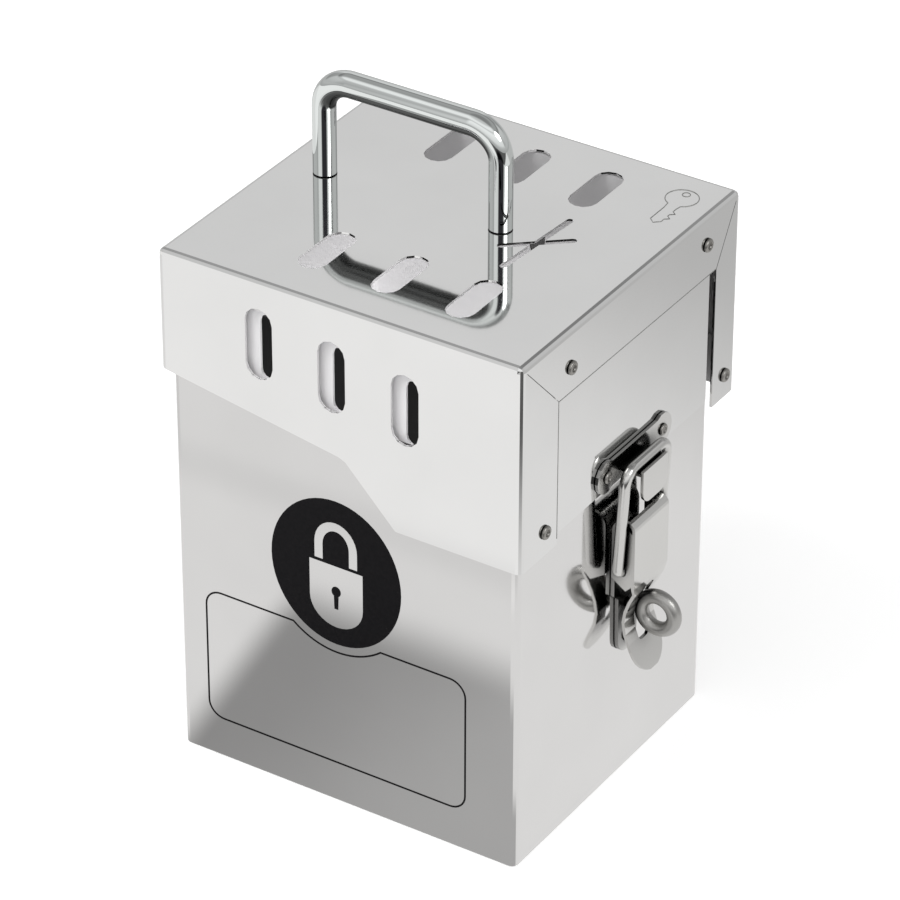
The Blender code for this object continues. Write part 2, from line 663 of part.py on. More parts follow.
bar_z = HEIGHT + HANDLE_RISE
handle_path = [(HANDLE_LEFT_X, HANDLE_Y, HEIGHT + GAP)]
for place_x, place_z in arc((HANDLE_LEFT_X + HANDLE_BEND_R, bar_z - HANDLE_BEND_R), HANDLE_BEND_R, 180, 90):
    handle_path.append((place_x, HANDLE_Y, place_z))
for place_x, place_z in arc((HANDLE_RIGHT_X - HANDLE_BEND_R, bar_z - HANDLE_BEND_R), HANDLE_BEND_R, 90, 0):
    handle_path.append((place_x, HANDLE_Y, place_z))
handle_path.append((HANDLE_RIGHT_X, HANDLE_Y, HEIGHT + GAP))
handle = tube("handle", handle_path, HANDLE_BAR_R, CHROME)

lid_underside = HEIGHT - SHEET
for word, foot_x in (("left", HANDLE_LEFT_X), ("right", HANDLE_RIGHT_X)):
    foot = (foot_x, HANDLE_Y, HEIGHT)
    cut(lid_shell, hole(f"screw_hole_{word}", SCREW_HOLE_R, foot, (0, 0, 1), 2 * OVERRUN))
    cut(handle, hole(f"screw_bore_{word}", SCREW_HOLE_R, foot, (0, 0, 1), 2 * HANDLE_SCREW_DEPTH + 2 * GAP))
    washer_top = lid_underside - GAP
    washer_profile = [
        (SCREW_HOLE_R, washer_top),
        (WASHER_R, washer_top),
        (WASHER_R, washer_top - WASHER_THICKNESS),
        (SCREW_HOLE_R, washer_top - WASHER_THICKNESS),
        (SCREW_HOLE_R, washer_top),
    ]
    turned(f"handle_washer_{word}", washer_profile, (foot_x, HANDLE_Y, 0), (0, 0, 1), LATCH_STEEL, 18)
    head_top = washer_top - WASHER_THICKNESS - GAP
    screw_profile = [
        (0, HEIGHT + HANDLE_SCREW_DEPTH),
        (HANDLE_SCREW_R, HEIGHT + HANDLE_SCREW_DEPTH),
        (HANDLE_SCREW_R, head_top),
        (SCREW_HEAD_R, head_top),
        (SCREW_HEAD_R, head_top - SCREW_HEAD_HEIGHT / 2),
        (SCREW_HEAD_R * SCREW_CROWN_SHARE, head_top - SCREW_HEAD_HEIGHT),
        (0, head_top - SCREW_HEAD_HEIGHT),
    ]
    turned(f"handle_screw_{word}", screw_profile, (foot_x, HANDLE_Y, 0), (0, 0, 1), LATCH_STEEL)


# Latch keeper: a plate with a round ear at each end and a shelf that the bail's bar sits on

KEEPER_THICKNESS = 1.2 * MM
KEEPER_EAR_R = 6.5 * MM
KEEPER_EAR_SPREAD = 19.2 * MM
EAR_SWEEP = 125
KEEPER_DROP = 74.2 * MM
KEEPER_NECK = 5.2 * MM
KEEPER_RIVET_R = 2.3 * MM
KEEPER_RIVET_HEIGHT = 0.8 * MM
HOOK_WIDTH = 17.0 * MM
HOOK_THICKNESS = 1.2 * MM
HOOK_LIP = 0.9 * MM
HOOK_APRON_DROP = 89.0 * MM
HOOK_CORNER_R = 5.0 * MM
WIRE_R = 2.1 * MM
BAR_STAND_OFF = 6.3 * MM
BAR_X = PANEL_OUTER_X + BAR_STAND_OFF
BAR_DROP = 73.7 * MM

keeper_x = PANEL_OUTER_X + GAP
keeper_z = HEIGHT - KEEPER_DROP
ears = arc((LATCH_Y + KEEPER_EAR_SPREAD, keeper_z), KEEPER_EAR_R, -EAR_SWEEP, EAR_SWEEP, 10)
ears += [(LATCH_Y + HOOK_WIDTH / 2, keeper_z + KEEPER_NECK), (LATCH_Y - HOOK_WIDTH / 2, keeper_z + KEEPER_NECK)]
ears += arc((LATCH_Y - KEEPER_EAR_SPREAD, keeper_z), KEEPER_EAR_R, 180 - EAR_SWEEP, 180 + EAR_SWEEP, 10)
ears += [(LATCH_Y - HOOK_WIDTH / 2, keeper_z - KEEPER_NECK), (LATCH_Y + HOOK_WIDTH / 2, keeper_z - KEEPER_NECK)]
latch_keeper = prism("latch_keeper", ears, "YZ", keeper_x, keeper_x + KEEPER_THICKNESS, LATCH_STEEL)

shelf_z = HEIGHT - BAR_DROP - WIRE_R - GAP
lip_x = BAR_X + WIRE_R + 2 * GAP
hook_low_y = LATCH_Y - HOOK_WIDTH / 2
hook_high_y = LATCH_Y + HOOK_WIDTH / 2
shelf = rectangle((keeper_x + KEEPER_THICKNESS / 2, shelf_z - HOOK_THICKNESS), (lip_x + HOOK_THICKNESS / 2, shelf_z))
join(latch_keeper, prism("keeper_shelf", shelf, "XZ", hook_low_y, hook_high_y))
apron_low = HEIGHT - HOOK_APRON_DROP
apron = [(hook_low_y, shelf_z + HOOK_LIP)]
apron += arc((hook_low_y + HOOK_CORNER_R, apron_low + HOOK_CORNER_R), HOOK_CORNER_R, 180, 270, 5)
apron += arc((hook_high_y - HOOK_CORNER_R, apron_low + HOOK_CORNER_R), HOOK_CORNER_R, 270, 360, 5)
apron += [(hook_high_y, shelf_z + HOOK_LIP)]
join(latch_keeper, prism("keeper_apron", apron, "YZ", lip_x, lip_x + HOOK_THICKNESS))

for word, side in (("front", -1), ("rear", 1)):
    seat = (keeper_x + KEEPER_THICKNESS, LATCH_Y + side * KEEPER_EAR_SPREAD, keeper_z)
    grip = KEEPER_THICKNESS + GAP + SHEET - RIVET_TAIL_INSET
    rivet(f"keeper_rivet_{word}", seat, (1, 0, 0), grip, KEEPER_RIVET_R, KEEPER_RIVET_HEIGHT)
    bore = hole(f"keeper_hole_{word}", RIVET_HOLE_R, seat, (1, 0, 0), 2 * OVERRUN)
    cut(latch_keeper, bore)
    cut(panels[1], bore)


# Latch base: a plate riveted to the body, with two cheeks that carry the lever's pin

BASE_THICKNESS = 1.5 * MM
BASE_HALF_WIDTH = 10.1 * MM
BASE_WAIST_HALF_WIDTH = 7.0 * MM
BASE_LUG_R = 6.5 * MM
BASE_SHOULDER = 30.0 * MM
BASE_LUG_DROP = 52.0 * MM
PIVOT_DROP = 101.0 * MM
PIVOT_STAND_OFF = 6.6 * MM
PIVOT_X = BODY_X + PIVOT_STAND_OFF
PIVOT_PIN_R = 1.4 * MM
BASE_TOP_BELOW_PIVOT = 6.0 * MM
CHEEK_BOSS_R = 2.9 * MM
CHEEK_THICKNESS = 1.2 * MM
CHEEK_LENGTH = 17.0 * MM
CHEEK_TOE = 2.4 * MM

base_x = BODY_X + GAP
pivot_z = HEIGHT - PIVOT_DROP
base_top = pivot_z - BASE_TOP_BELOW_PIVOT
lug_z = pivot_z - BASE_LUG_DROP
shoulder_z = pivot_z - BASE_SHOULDER
base_outline = [
    (LATCH_Y - BASE_HALF_WIDTH, base_top),
    (LATCH_Y - BASE_HALF_WIDTH, shoulder_z),
    (LATCH_Y - BASE_WAIST_HALF_WIDTH, shoulder_z - BASE_HALF_WIDTH + BASE_WAIST_HALF_WIDTH),
]
base_outline += arc((LATCH_Y, lug_z), BASE_LUG_R, 180, 360, 10)
base_outline += [
    (LATCH_Y + BASE_WAIST_HALF_WIDTH, shoulder_z - BASE_HALF_WIDTH + BASE_WAIST_HALF_WIDTH),
    (LATCH_Y + BASE_HALF_WIDTH, shoulder_z),
    (LATCH_Y + BASE_HALF_WIDTH, base_top),
]
latch_base = prism("latch_base", base_outline, "YZ", base_x, base_x + BASE_THICKNESS, LATCH_STEEL)

cheek = arc((PIVOT_X, pivot_z), CHEEK_BOSS_R, 0, 180, 8)
cheek += [
    (PIVOT_X - CHEEK_BOSS_R, base_top + CHEEK_TOE / 2),
    (base_x + BASE_THICKNESS / 2, base_top),
    (base_x + BASE_THICKNESS / 2, base_top - CHEEK_LENGTH + CHEEK_TOE),
    (base_x + BASE_THICKNESS + CHEEK_TOE, base_top - CHEEK_LENGTH + CHEEK_TOE),
    (PIVOT_X + CHEEK_BOSS_R, base_top - CHEEK_TOE),
]
for word, side in (("front", -1), ("rear", 1)):
    outer = LATCH_Y + side * BASE_HALF_WIDTH
    inner = outer - side * CHEEK_THICKNESS
    join(latch_base, prism(f"cheek_{word}", cheek, "XZ", min(inner, outer), max(inner, outer)))

BASE_RIVET_BELOW_PIVOT = 13.0 * MM
for word, rivet_z in (("upper", pivot_z - BASE_RIVET_BELOW_PIVOT), ("lower", lug_z)):
    seat = (base_x + BASE_THICKNESS, LATCH_Y, rivet_z)
    rivet(f"base_rivet_{word}", seat, (1, 0, 0), BASE_THICKNESS + GAP + SHEET - RIVET_TAIL_INSET)
    bore = hole(f"base_hole_{word}", RIVET_HOLE_R, seat, (1, 0, 0), 2 * OVERRUN)
    cut(latch_base, bore)
    cut(body_shell, bore)


# Padlock eye: a ring on a short stem, fixed to the base, that stands out through the lever's slot

EYE_RING_R = 7.0 * MM
EYE_WIRE_R = 2.8 * MM
EYE_STEM_R = 2.2 * MM
EYE_STAND_OFF = 14.5 * MM
EYE_BELOW_PIVOT = 38.0 * MM
EYE_RING_STEPS = 24
EYE_SIDES = 10

eye_x = BODY_X + EYE_STAND_OFF
eye_z = pivot_z - EYE_BELOW_PIVOT
eye_profile = arc((EYE_RING_R, 0), EYE_WIRE_R, 90, -270, EYE_SIDES)
eye_profile[-1] = eye_profile[0]
padlock_eye = turned("padlock_eye", eye_profile, (eye_x, LATCH_Y, eye_z), (0, 1, 0), LATCH_STEEL, EYE_RING_STEPS)
stem_end = eye_x - EYE_RING_R
stem_start = base_x + BASE_THICKNESS + GAP
stem = hole(
    "eye_stem",
    EYE_STEM_R,
    ((stem_start + stem_end) / 2, LATCH_Y, eye_z),
    (1, 0, 0),
    stem_end - stem_start,
    12,
)
join(padlock_eye, stem)


# Latch lever: a channel that folds over the cheeks, with a slotted tail and a round thumb tab

LEVER_HALF_WIDTH = 11.85 * MM
LEVER_THICKNESS = 1.2 * MM
LEVER_FACE_STAND_OFF = 4.4 * MM
LEVER_FACE_X = PIVOT_X + LEVER_FACE_STAND_OFF
LEVER_TOP_R = 3.0 * MM
LEVER_TOP_ABOVE_PIVOT = 5.0 * MM
LEVER_SIDE_INNER = 5.2 * MM
LEVER_SIDE_TURN = 75
LEVER_SIDE_DROP = 20.5 * MM
LEVER_SIDE_TOE = 24.6 * MM
TAIL_HALF_WIDTH = 10.0 * MM
BAIL_PIVOT_INSET = 1.3 * MM
BAIL_PIVOT_X = PIVOT_X - BAIL_PIVOT_INSET
BAIL_PIVOT_BELOW = 16.5 * MM
BAIL_HOLE_R = WIRE_R + GAP
TAIL_SLOT_HALF_WIDTH = 3.3 * MM
TAIL_SLOT_TOP = 26.2 * MM
TAIL_SLOT_BOTTOM = 50.5 * MM
TAIL_SLOT_CORNER_R = 1.5 * MM
TAIL_TIP = 62.2 * MM

# The tail bends in towards the wall and out again: places off the pivot, outwards and down
TAIL_LINE = [
    (4.4 * MM, 23.0 * MM),
    (3.9 * MM, 27.0 * MM),
    (2.0 * MM, 31.0 * MM),
    (0.4 * MM, 35.5 * MM),
    (-0.3 * MM, 40.0 * MM),
    (0.4 * MM, 45.0 * MM),
    (1.9 * MM, 49.0 * MM),
    (3.1 * MM, 52.0 * MM),
]
TAB_STEPS = 6


def lever_strip():
    """The lever's outer skin as rows of outline, each with its half width."""
    rows = []
    roll_x = LEVER_FACE_X - PIVOT_X - LEVER_TOP_R
    roll_z = LEVER_TOP_ABOVE_PIVOT - LEVER_TOP_R
    for place_x, place_z in arc((roll_x, roll_z), LEVER_TOP_R, 90, 0, 4):
        rows.append((place_x, place_z, LEVER_HALF_WIDTH))
    first_x, first_drop = TAIL_LINE[0]
    rows.append((first_x, -first_drop, LEVER_HALF_WIDTH))
    for place_x, drop in TAIL_LINE[1:]:
        rows.append((place_x, -drop, TAIL_HALF_WIDTH))
    start_x, start_drop = TAIL_LINE[-1]
    lean = (TAIL_LINE[-1][0] - TAIL_LINE[-2][0]) / (TAIL_LINE[-1][1] - TAIL_LINE[-2][1])
    for step in range(1, TAB_STEPS):
        share = step / TAB_STEPS
        drop = start_drop + (TAIL_TIP - start_drop) * math.sin(share * math.pi / 2)
        half = TAIL_HALF_WIDTH * math.cos(share * math.pi / 2)
        rows.append((start_x + (drop - start_drop) * lean, -drop, half))
    return rows


def strip_mesh(name, rows):
    bm = bmesh.new()
    pairs = []
    for place_x, place_z, half in rows:
        front = bm.verts.new((PIVOT_X + place_x, LATCH_Y - half, pivot_z + place_z))
        rear = bm.verts.new((PIVOT_X + place_x, LATCH_Y + half, pivot_z + place_z))
        pairs.append((front, rear))
    for upper, lower in zip(pairs, pairs[1:]):
        bm.faces.new((upper[0], lower[0], lower[1], upper[1]))
    mesh = bpy.data.meshes.new(name)
    bm.to_mesh(mesh)
    bm.free()
    return mesh


latch_lever = add_object("latch_lever", strip_mesh("latch_lever", lever_strip()), LATCH_STEEL)
skin = latch_lever.modifiers.new("sheet", "SOLIDIFY")
skin.thickness = LEVER_THICKNESS
skin.offset = -1
skin.use_even_offset = True

side_outer_x = LEVER_FACE_X - LEVER_THICKNESS / 2
side_plate = arc((PIVOT_X, pivot_z), LEVER_SIDE_INNER, 180, LEVER_SIDE_TURN, 6)
side_plate += [
    (side_outer_x - LEVER_TOP_R, pivot_z + LEVER_TOP_ABOVE_PIVOT - LEVER_THICKNESS * 2),
    (side_outer_x, pivot_z),
    (side_outer_x, pivot_z - LEVER_SIDE_TOE + LEVER_TOP_R),
    (side_outer_x - LEVER_TOP_R, pivot_z - LEVER_SIDE_TOE),
    (PIVOT_X - LEVER_SIDE_INNER, pivot_z - LEVER_SIDE_DROP),
]
bail_z = pivot_z - BAIL_PIVOT_BELOW
for word, side in (("front", -1), ("rear", 1)):
    outer = LATCH_Y + side * LEVER_HALF_WIDTH
    inner = outer - side * LEVER_THICKNESS
    join(latch_lever, prism(f"lever_side_{word}", side_plate, "XZ", min(inner, outer), max(inner, outer)))

pin_bore = hole(
    "pivot_bore", PIVOT_PIN_R + GAP, (PIVOT_X, LATCH_Y, pivot_z), (0, 1, 0), 2 * LEVER_HALF_WIDTH + 2 * OVERRUN
)
bail_bore = hole(
    "bail_bore", BAIL_HOLE_R, (BAIL_PIVOT_X, LATCH_Y, bail_z), (0, 1, 0), 2 * LEVER_HALF_WIDTH + 2 * OVERRUN
)
tail_slot = rounded(
    (LATCH_Y - TAIL_SLOT_HALF_WIDTH, pivot_z - TAIL_SLOT_BOTTOM),
    (LATCH_Y + TAIL_SLOT_HALF_WIDTH, pivot_z - TAIL_SLOT_TOP),
    TAIL_SLOT_CORNER_R,
    2,
)
cut(latch_lever, prism("tail_slot", tail_slot, "YZ", BODY_X, LEVER_FACE_X + OVERRUN))
cut(latch_lever, pin_bore)
cut(latch_lever, bail_bore)
cut(latch_base, pin_bore)


# Lever pin: a plain pin staked in the cheeks, its ends flush with the lever's sides

turned(
    "lever_pin",
    [(0, LEVER_HALF_WIDTH), (PIVOT_PIN_R, LEVER_HALF_WIDTH), (PIVOT_PIN_R, -LEVER_HALF_WIDTH), (0, -LEVER_HALF_WIDTH)],
    (PIVOT_X, LATCH_Y, pivot_z),
    (0, 1, 0),
    LATCH_STEEL,
    12,
)


# Latch bail: a wire loop from the lever's side holes up to the bar on the keeper's shelf

BAIL_LEG_Y = 14.3 * MM
BAIL_BEND_R = 5.5 * MM
BAIL_FOOT_R = 3.0 * MM
BAIL_END_INSET = 10.4 * MM

bar_z = HEIGHT - BAR_DROP


def bail_half():
    """One side of the loop, from the end in the lever's hole up to the bar, as Y off the middle and height."""
    points = [(BAIL_END_INSET, bail_z)]
    points += arc((BAIL_LEG_Y - BAIL_FOOT_R, bail_z + BAIL_FOOT_R), BAIL_FOOT_R, -90, 0, 4)
    points += arc((BAIL_LEG_Y - BAIL_BEND_R, bar_z - BAIL_BEND_R), BAIL_BEND_R, 0, 90, 5)
    return points


def bail_place(side, place_y, place_z):
    """The loop leans out a little, from the hole's line to the bar's."""
    lean = (BAR_X - BAIL_PIVOT_X) / (bar_z - bail_z)
    return (BAIL_PIVOT_X + lean * (place_z - bail_z), LATCH_Y + side * place_y, place_z)


bail_path = [bail_place(-1, place_y, place_z) for place_y, place_z in bail_half()]
bail_path += [bail_place(1, place_y, place_z) for place_y, place_z in reversed(bail_half())]
tube("latch_bail", bail_path, WIRE_R, LATCH_STEEL, 2)


# Joint axes: each moving body hangs from an empty that stands on its hinge line

LID_PIECES = ("lid_", "handle", "hinge_leaf_lid", "hinge_rivet_lid", "latch_keeper", "keeper_rivet")


def carry(name, place, starts):
    """Parent the pieces whose names start like this to an empty, with nothing moved."""
    pivot = bpy.data.objects.new(name, None)
    pivot.location = place
    PARTS.objects.link(pivot)
    for piece in list(PARTS.objects):
        if piece.type == "MESH" and piece.name.startswith(starts):
            piece.parent = pivot
            piece.matrix_parent_inverse = Matrix.Translation(place).inverted()


carry("lid_pivot", (HINGE_X, 0, HINGE_Z), LID_PIECES)
carry("lever_pivot", (PIVOT_X, LATCH_Y, pivot_z), ("latch_lever",))
carry("bail_pivot", (BAIL_PIVOT_X, LATCH_Y, bail_z), ("latch_bail",))
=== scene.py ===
import json
import math

import bmesh
import bpy
from mathutils import Matrix, Vector


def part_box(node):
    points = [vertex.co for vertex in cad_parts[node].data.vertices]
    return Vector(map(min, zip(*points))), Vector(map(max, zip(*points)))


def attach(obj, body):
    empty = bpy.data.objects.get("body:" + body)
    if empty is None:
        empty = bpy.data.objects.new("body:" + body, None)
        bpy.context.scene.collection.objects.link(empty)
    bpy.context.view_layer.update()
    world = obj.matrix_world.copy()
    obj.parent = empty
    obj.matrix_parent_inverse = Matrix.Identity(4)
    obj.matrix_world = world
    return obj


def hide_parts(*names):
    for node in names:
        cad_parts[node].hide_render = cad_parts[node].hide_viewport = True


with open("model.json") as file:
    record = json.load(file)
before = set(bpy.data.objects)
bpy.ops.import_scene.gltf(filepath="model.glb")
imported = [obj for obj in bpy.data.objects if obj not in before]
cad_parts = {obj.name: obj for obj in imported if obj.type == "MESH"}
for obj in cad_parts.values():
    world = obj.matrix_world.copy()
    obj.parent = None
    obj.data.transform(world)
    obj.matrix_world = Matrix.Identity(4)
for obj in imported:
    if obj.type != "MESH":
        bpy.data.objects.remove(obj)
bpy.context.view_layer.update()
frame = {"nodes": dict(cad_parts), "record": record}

scene = bpy.context.scene
scene.view_settings.view_transform = "Standard"

# Camera: the photograph's view, from high up in front and to the right, with a long lens.
# The image is taken as 900 by 900 pixels.
CAMERA_PLACE = (0.8267, -1.2899, 1.0930)
VIEW_RIGHT = (0.84123, 0.54067, 0.00151)
VIEW_UP = (-0.29172, 0.45153, 0.84322)
VIEW_BACK = (0.45522, -0.70978, 0.53757)

lens_camera = bpy.data.cameras.new("camera")
lens_camera.lens = 198.36
lens_camera.sensor_width = 36
lens_camera.sensor_height = 36
lens_camera.clip_start = 0.1
lens_camera.clip_end = 20
camera = bpy.data.objects.new("camera", lens_camera)
scene.collection.objects.link(camera)
scene.camera = camera
camera.matrix_world = Matrix((*zip(VIEW_RIGHT, VIEW_UP, VIEW_BACK, CAMERA_PLACE), (0, 0, 0, 1)))


# World: white where the camera sees it. In reflections it is a pale room that turns grey
# overhead towards the rear, and a pair of grey screens stands low at the sides, which give
# the chrome its grey stripes.
def add(tree, kind, inputs=(), **settings):
    """A shader node. Its sockets take plain values or what other nodes give."""
    made = tree.nodes.new("ShaderNode" + kind)
    for name, value in settings.items():
        setattr(made, name, value)
    for socket, value in dict(inputs).items():
        if isinstance(value, bpy.types.NodeSocket):
            tree.links.new(value, made.inputs[socket])
        else:
            made.inputs[socket].default_value = value
    return made


def work_out(tree, operation, *values):
    return add(tree, "Math", enumerate(values), operation=operation).outputs[0]


def times(tree, *values):
    product = values[0]
    for value in values[1:]:
        product = work_out(tree, "MULTIPLY", product, value)
    return product


def one_less(tree, value):
    return work_out(tree, "SUBTRACT", 1.0, value)


def soft_step(tree, value, low, high):
    """0 up to the first limit and 1 from the second on, with a soft passage between them."""
    limits = {"Value": value, "From Min": low, "From Max": high}
    return add(tree, "MapRange", limits, interpolation_type="SMOOTHSTEP").outputs[0]


def ramp(tree, value, stops):
    """Tones along a value. Each stop is a place and its grey level or colour."""
    made = add(tree, "ValToRGB", {"Fac": value})
    elements = made.color_ramp.elements
    for element, (place, _) in zip(elements, (stops[0], stops[-1])):
        element.position = place
    for place, _ in stops[1:-1]:
        elements.new(place)
    for element, (_, tone) in zip(elements, stops):
        element.color = (*tone, 1) if isinstance(tone, tuple) else (tone, tone, tone, 1)
    return made.outputs["Color"]


SKY_HEIGHT_TONES = [
    (0.0, 0.45), (0.20, 0.62), (0.46, 0.74), (0.60, 0.78), (0.66, 0.66), (0.72, 0.72), (0.76, 0.98),
    (0.86, 0.98), (0.92, 0.70), (1.0, 0.62),
]
SCREEN_TONES = [
    (0.0, 1.0), (0.02, 1.0), (0.05, 0.55), (0.17, 0.50), (0.25, 0.85), (0.55, 0.85), (0.70, 0.66),
    (0.76, 1.30), (1.0, 1.30),
]
FRONT_CORNER_WAY = (0.540, -0.842)
LEAST_LEVEL_REACH = 0.05
SCREEN_FOOT, SCREEN_TOP = (0.10, 0.25), (0.62, 0.72)
REAR_SKY_START, REAR_SKY_HEIGHT = (-0.25, 0.05), (0.60, 0.68)
REAR_SKY_DROP = 0.60

world = bpy.data.worlds.new("studio")
scene.world = world
world.use_nodes = True
tree = world.node_tree
tree.nodes.clear()
ray = add(tree, "LightPath").outputs
sky_x, sky_y, sky_z = add(tree, "SeparateXYZ", {"Vector": add(tree, "TexCoord").outputs["Generated"]}).outputs
level_reach = work_out(tree, "SQRT", one_less(tree, times(tree, sky_z, sky_z)))
level_reach = work_out(tree, "MAXIMUM", level_reach, LEAST_LEVEL_REACH)
towards = work_out(
    tree, "ADD", times(tree, sky_x, FRONT_CORNER_WAY[0]), times(tree, sky_y, FRONT_CORNER_WAY[1])
)
turn = work_out(tree, "MULTIPLY_ADD", work_out(tree, "DIVIDE", towards, level_reach), 0.5, 0.5)
screens = work_out(tree, "SUBTRACT", ramp(tree, turn, SCREEN_TONES), 1.0)
below_top = one_less(tree, soft_step(tree, sky_z, *SCREEN_TOP))
above_foot = soft_step(tree, sky_z, *SCREEN_FOOT)
screened = work_out(tree, "ADD", times(tree, screens, below_top, above_foot), 1.0)
rear_sky = times(tree, soft_step(tree, sky_y, *REAR_SKY_START), soft_step(tree, sky_z, *REAR_SKY_HEIGHT))
rear_dimmed = one_less(tree, times(tree, rear_sky, REAR_SKY_DROP))
level = times(tree, ramp(tree, sky_z, SKY_HEIGHT_TONES), rear_dimmed, screened)
level = work_out(tree, "MAXIMUM", level, ray["Is Camera Ray"])
sky = add(tree, "Background", {"Color": (1, 1, 1, 1), "Strength": level})
add(tree, "OutputWorld", {"Surface": sky.outputs[0]})


# Floor: pale and matte, lifted to white for the camera, where it keeps the box's shadow. In
# reflections it glows white, with painted shadows in that glow: a soft grey patch in front of
# the box, which is the box's shadow that the polished front shows, and a darker patch at the
# front right. The glow is also a little greyer from a short way in front of the box backwards,
# and greyer still from a little behind it.
def new_material(name):
    made = bpy.data.materials.new(name)
    made.use_nodes = True
    made.node_tree.nodes.clear()
    return made, made.node_tree


FLOOR_HALF = 6.0
FLOOR_Z = -0.0006
FLOOR_COLOUR = (0.93, 0.93, 0.93, 1)
FLOOR_LIFT = 0.42
FLOOR_GLOW_COLOUR = (1.0, 0.995, 0.99, 1)
PATCH_START_Y = -0.0705
PATCH_END, PATCH_LEFT, PATCH_RIGHT = (-0.192, -0.158), (-0.070, -0.052), (0.115, 0.095)
PATCH_SLANT = -0.19
PATCH_DARK, PATCH_DARK_FALL, PATCH_FALL_X = 0.62, 0.17, (-0.075, 0.040)
NEAR_DARK, NEAR_END = 0.14, (-0.252, -0.225)
REAR_DARK, REAR_START = 0.30, (0.15, 0.36)
FRONT_RIGHT_SHADOW, FRONT_RIGHT_X, FRONT_RIGHT_Y = 0.88, (0.13, 0.20), (-0.16, -0.24)

bm = bmesh.new()
bmesh.ops.create_grid(bm, x_segments=2, y_segments=2, size=FLOOR_HALF)
mesh = bpy.data.meshes.new("floor")
bm.to_mesh(mesh)
bm.free()
floor = bpy.data.objects.new("floor", mesh)
floor.location = (0, 0, FLOOR_Z)
scene.collection.objects.link(floor)

floor_paint, tree = new_material("floor_paint")
ray = add(tree, "LightPath").outputs
floor_x, floor_y, _ = add(tree, "SeparateXYZ", {"Vector": add(tree, "TexCoord").outputs["Object"]}).outputs
patch_edge = work_out(tree, "ADD", floor_x, times(tree, floor_y, PATCH_SLANT))
# The box's shadow, painted into the glow as a soft grey patch in front of it.
patch = times(
    tree,
    soft_step(tree, floor_y, *PATCH_END),
    soft_step(tree, patch_edge, *PATCH_LEFT),
    soft_step(tree, floor_x, *PATCH_RIGHT),
    work_out(tree, "LESS_THAN", floor_y, PATCH_START_Y),
)
paler_to_right = times(tree, soft_step(tree, floor_x, *PATCH_FALL_X), PATCH_DARK_FALL)
patch_dark = work_out(tree, "SUBTRACT", PATCH_DARK, paler_to_right)
near = times(tree, soft_step(tree, floor_y, *NEAR_END), NEAR_DARK)
rear = times(tree, soft_step(tree, floor_y, *REAR_START), REAR_DARK)
# A painted shadow at the front right, which darkens the glow there.
front_right_shadow = times(tree, soft_step(tree, floor_x, *FRONT_RIGHT_X), soft_step(tree, floor_y, *FRONT_RIGHT_Y))
level = times(
    tree,
    one_less(tree, work_out(tree, "ADD", near, rear)),
    one_less(tree, times(tree, patch, patch_dark)),
    one_less(tree, times(tree, front_right_shadow, FRONT_RIGHT_SHADOW)),
)
glow = add(tree, "Emission", {"Color": FLOOR_GLOW_COLOUR, "Strength": level})
matte = add(tree, "BsdfDiffuse", {"Color": FLOOR_COLOUR})
lift = add(tree, "Emission", {"Strength": times(tree, ray["Is Camera Ray"], FLOOR_LIFT)})
lifted = add(tree, "AddShader", {0: matte.outputs[0], 1: lift.outputs[0]})
seen = add(tree, "MixShader", {0: ray["Is Glossy Ray"], 1: lifted.outputs[0], 2: glow.outputs[0]})
add(tree, "OutputMaterial", {"Surface": seen.outputs[0]})
mesh.materials.append(floor_paint)


# Lamps: one large soft lamp from the front left and above, and a weaker one from the right.
# The large one doesn't show in reflections.
def area_lamp(name, place, target, size, power):
    data = bpy.data.lights.new(name, "AREA")
    data.shape = "DISK"
    data.size = size
    data.energy = power
    lamp = bpy.data.objects.new(name, data)
    lamp.location = place
    lamp.rotation_mode = "QUATERNION"
    lamp.rotation_quaternion = (Vector(target) - Vector(place)).to_track_quat("-Z", "Y")
    scene.collection.objects.link(lamp)
    return lamp


LAMP_TARGET = (0, 0, 0.1)
key_lamp = area_lamp("key_lamp", (-0.6, -1.0, 1.6), LAMP_TARGET, 0.9, 11)
key_lamp.visible_glossy = False
area_lamp("fill_lamp", (1.4, -0.2, 1.3), LAMP_TARGET, 0.8, 5)

# Inside lamps: two flat soft lamps on the floor pan, which the camera doesn't see. They light
# the inside of the box, so that its walls show pale through the lid's slots.
INSIDE_LAMP_Z = 0.003
for name, low, high, power in (
    ("inside_lamp_front", (-0.030, -0.037), (0.068, -0.003), 0.340),
    ("inside_lamp_rear", (-0.020, 0.030), (0.068, 0.057), 0.010),
):
    middle_x, middle_y = (low[0] + high[0]) / 2, (low[1] + high[1]) / 2
    inside_lamp = area_lamp(name, (middle_x, middle_y, INSIDE_LAMP_Z), (0, 0, 1), 0.1, power)
    inside_lamp.data.shape = "RECTANGLE"
    inside_lamp.data.size = high[0] - low[0]
    inside_lamp.data.size_y = high[1] - low[1]
    inside_lamp.rotation_mode = "XYZ"
    inside_lamp.rotation_euler = (math.pi, 0, 0)
    inside_lamp.visible_camera = False


# Lid and body sheets: bright polished stainless sheet, folded and riveted, with a faint grain,
# slow waves that bend its reflections, and small smudges. The inside is matte, and its greys
# are painted light and shade: pale where light through the slots falls, darker below.
def noise(tree, place, scale, detail=2):
    return add(tree, "TexNoise", {"Vector": place, "Scale": scale, "Detail": detail}).outputs["Fac"]


def bump(tree, height, distance, over=None):
    inputs = {"Height": height, "Distance": distance}
    if over:
        inputs["Normal"] = over
    return add(tree, "Bump", inputs).outputs["Normal"]


def mix(tree, share, first, second, blend="MIX"):
    return add(tree, "Mix", {0: share, 6: first, 7: second}, data_type="RGBA", blend_type=blend).outputs[2]


RISE_TO_REAR = 0.76
RAMP_PER_METRE = 3.0
SMUDGE_SCALE, GRAIN_SCALE, WAVE_SCALE = 22, 900, 9
SMUDGE_DARK = 0.96
GRAIN_SHARE = 0.4
LEAST_ROUGH, MOST_ROUGH = 0.75, 1.35


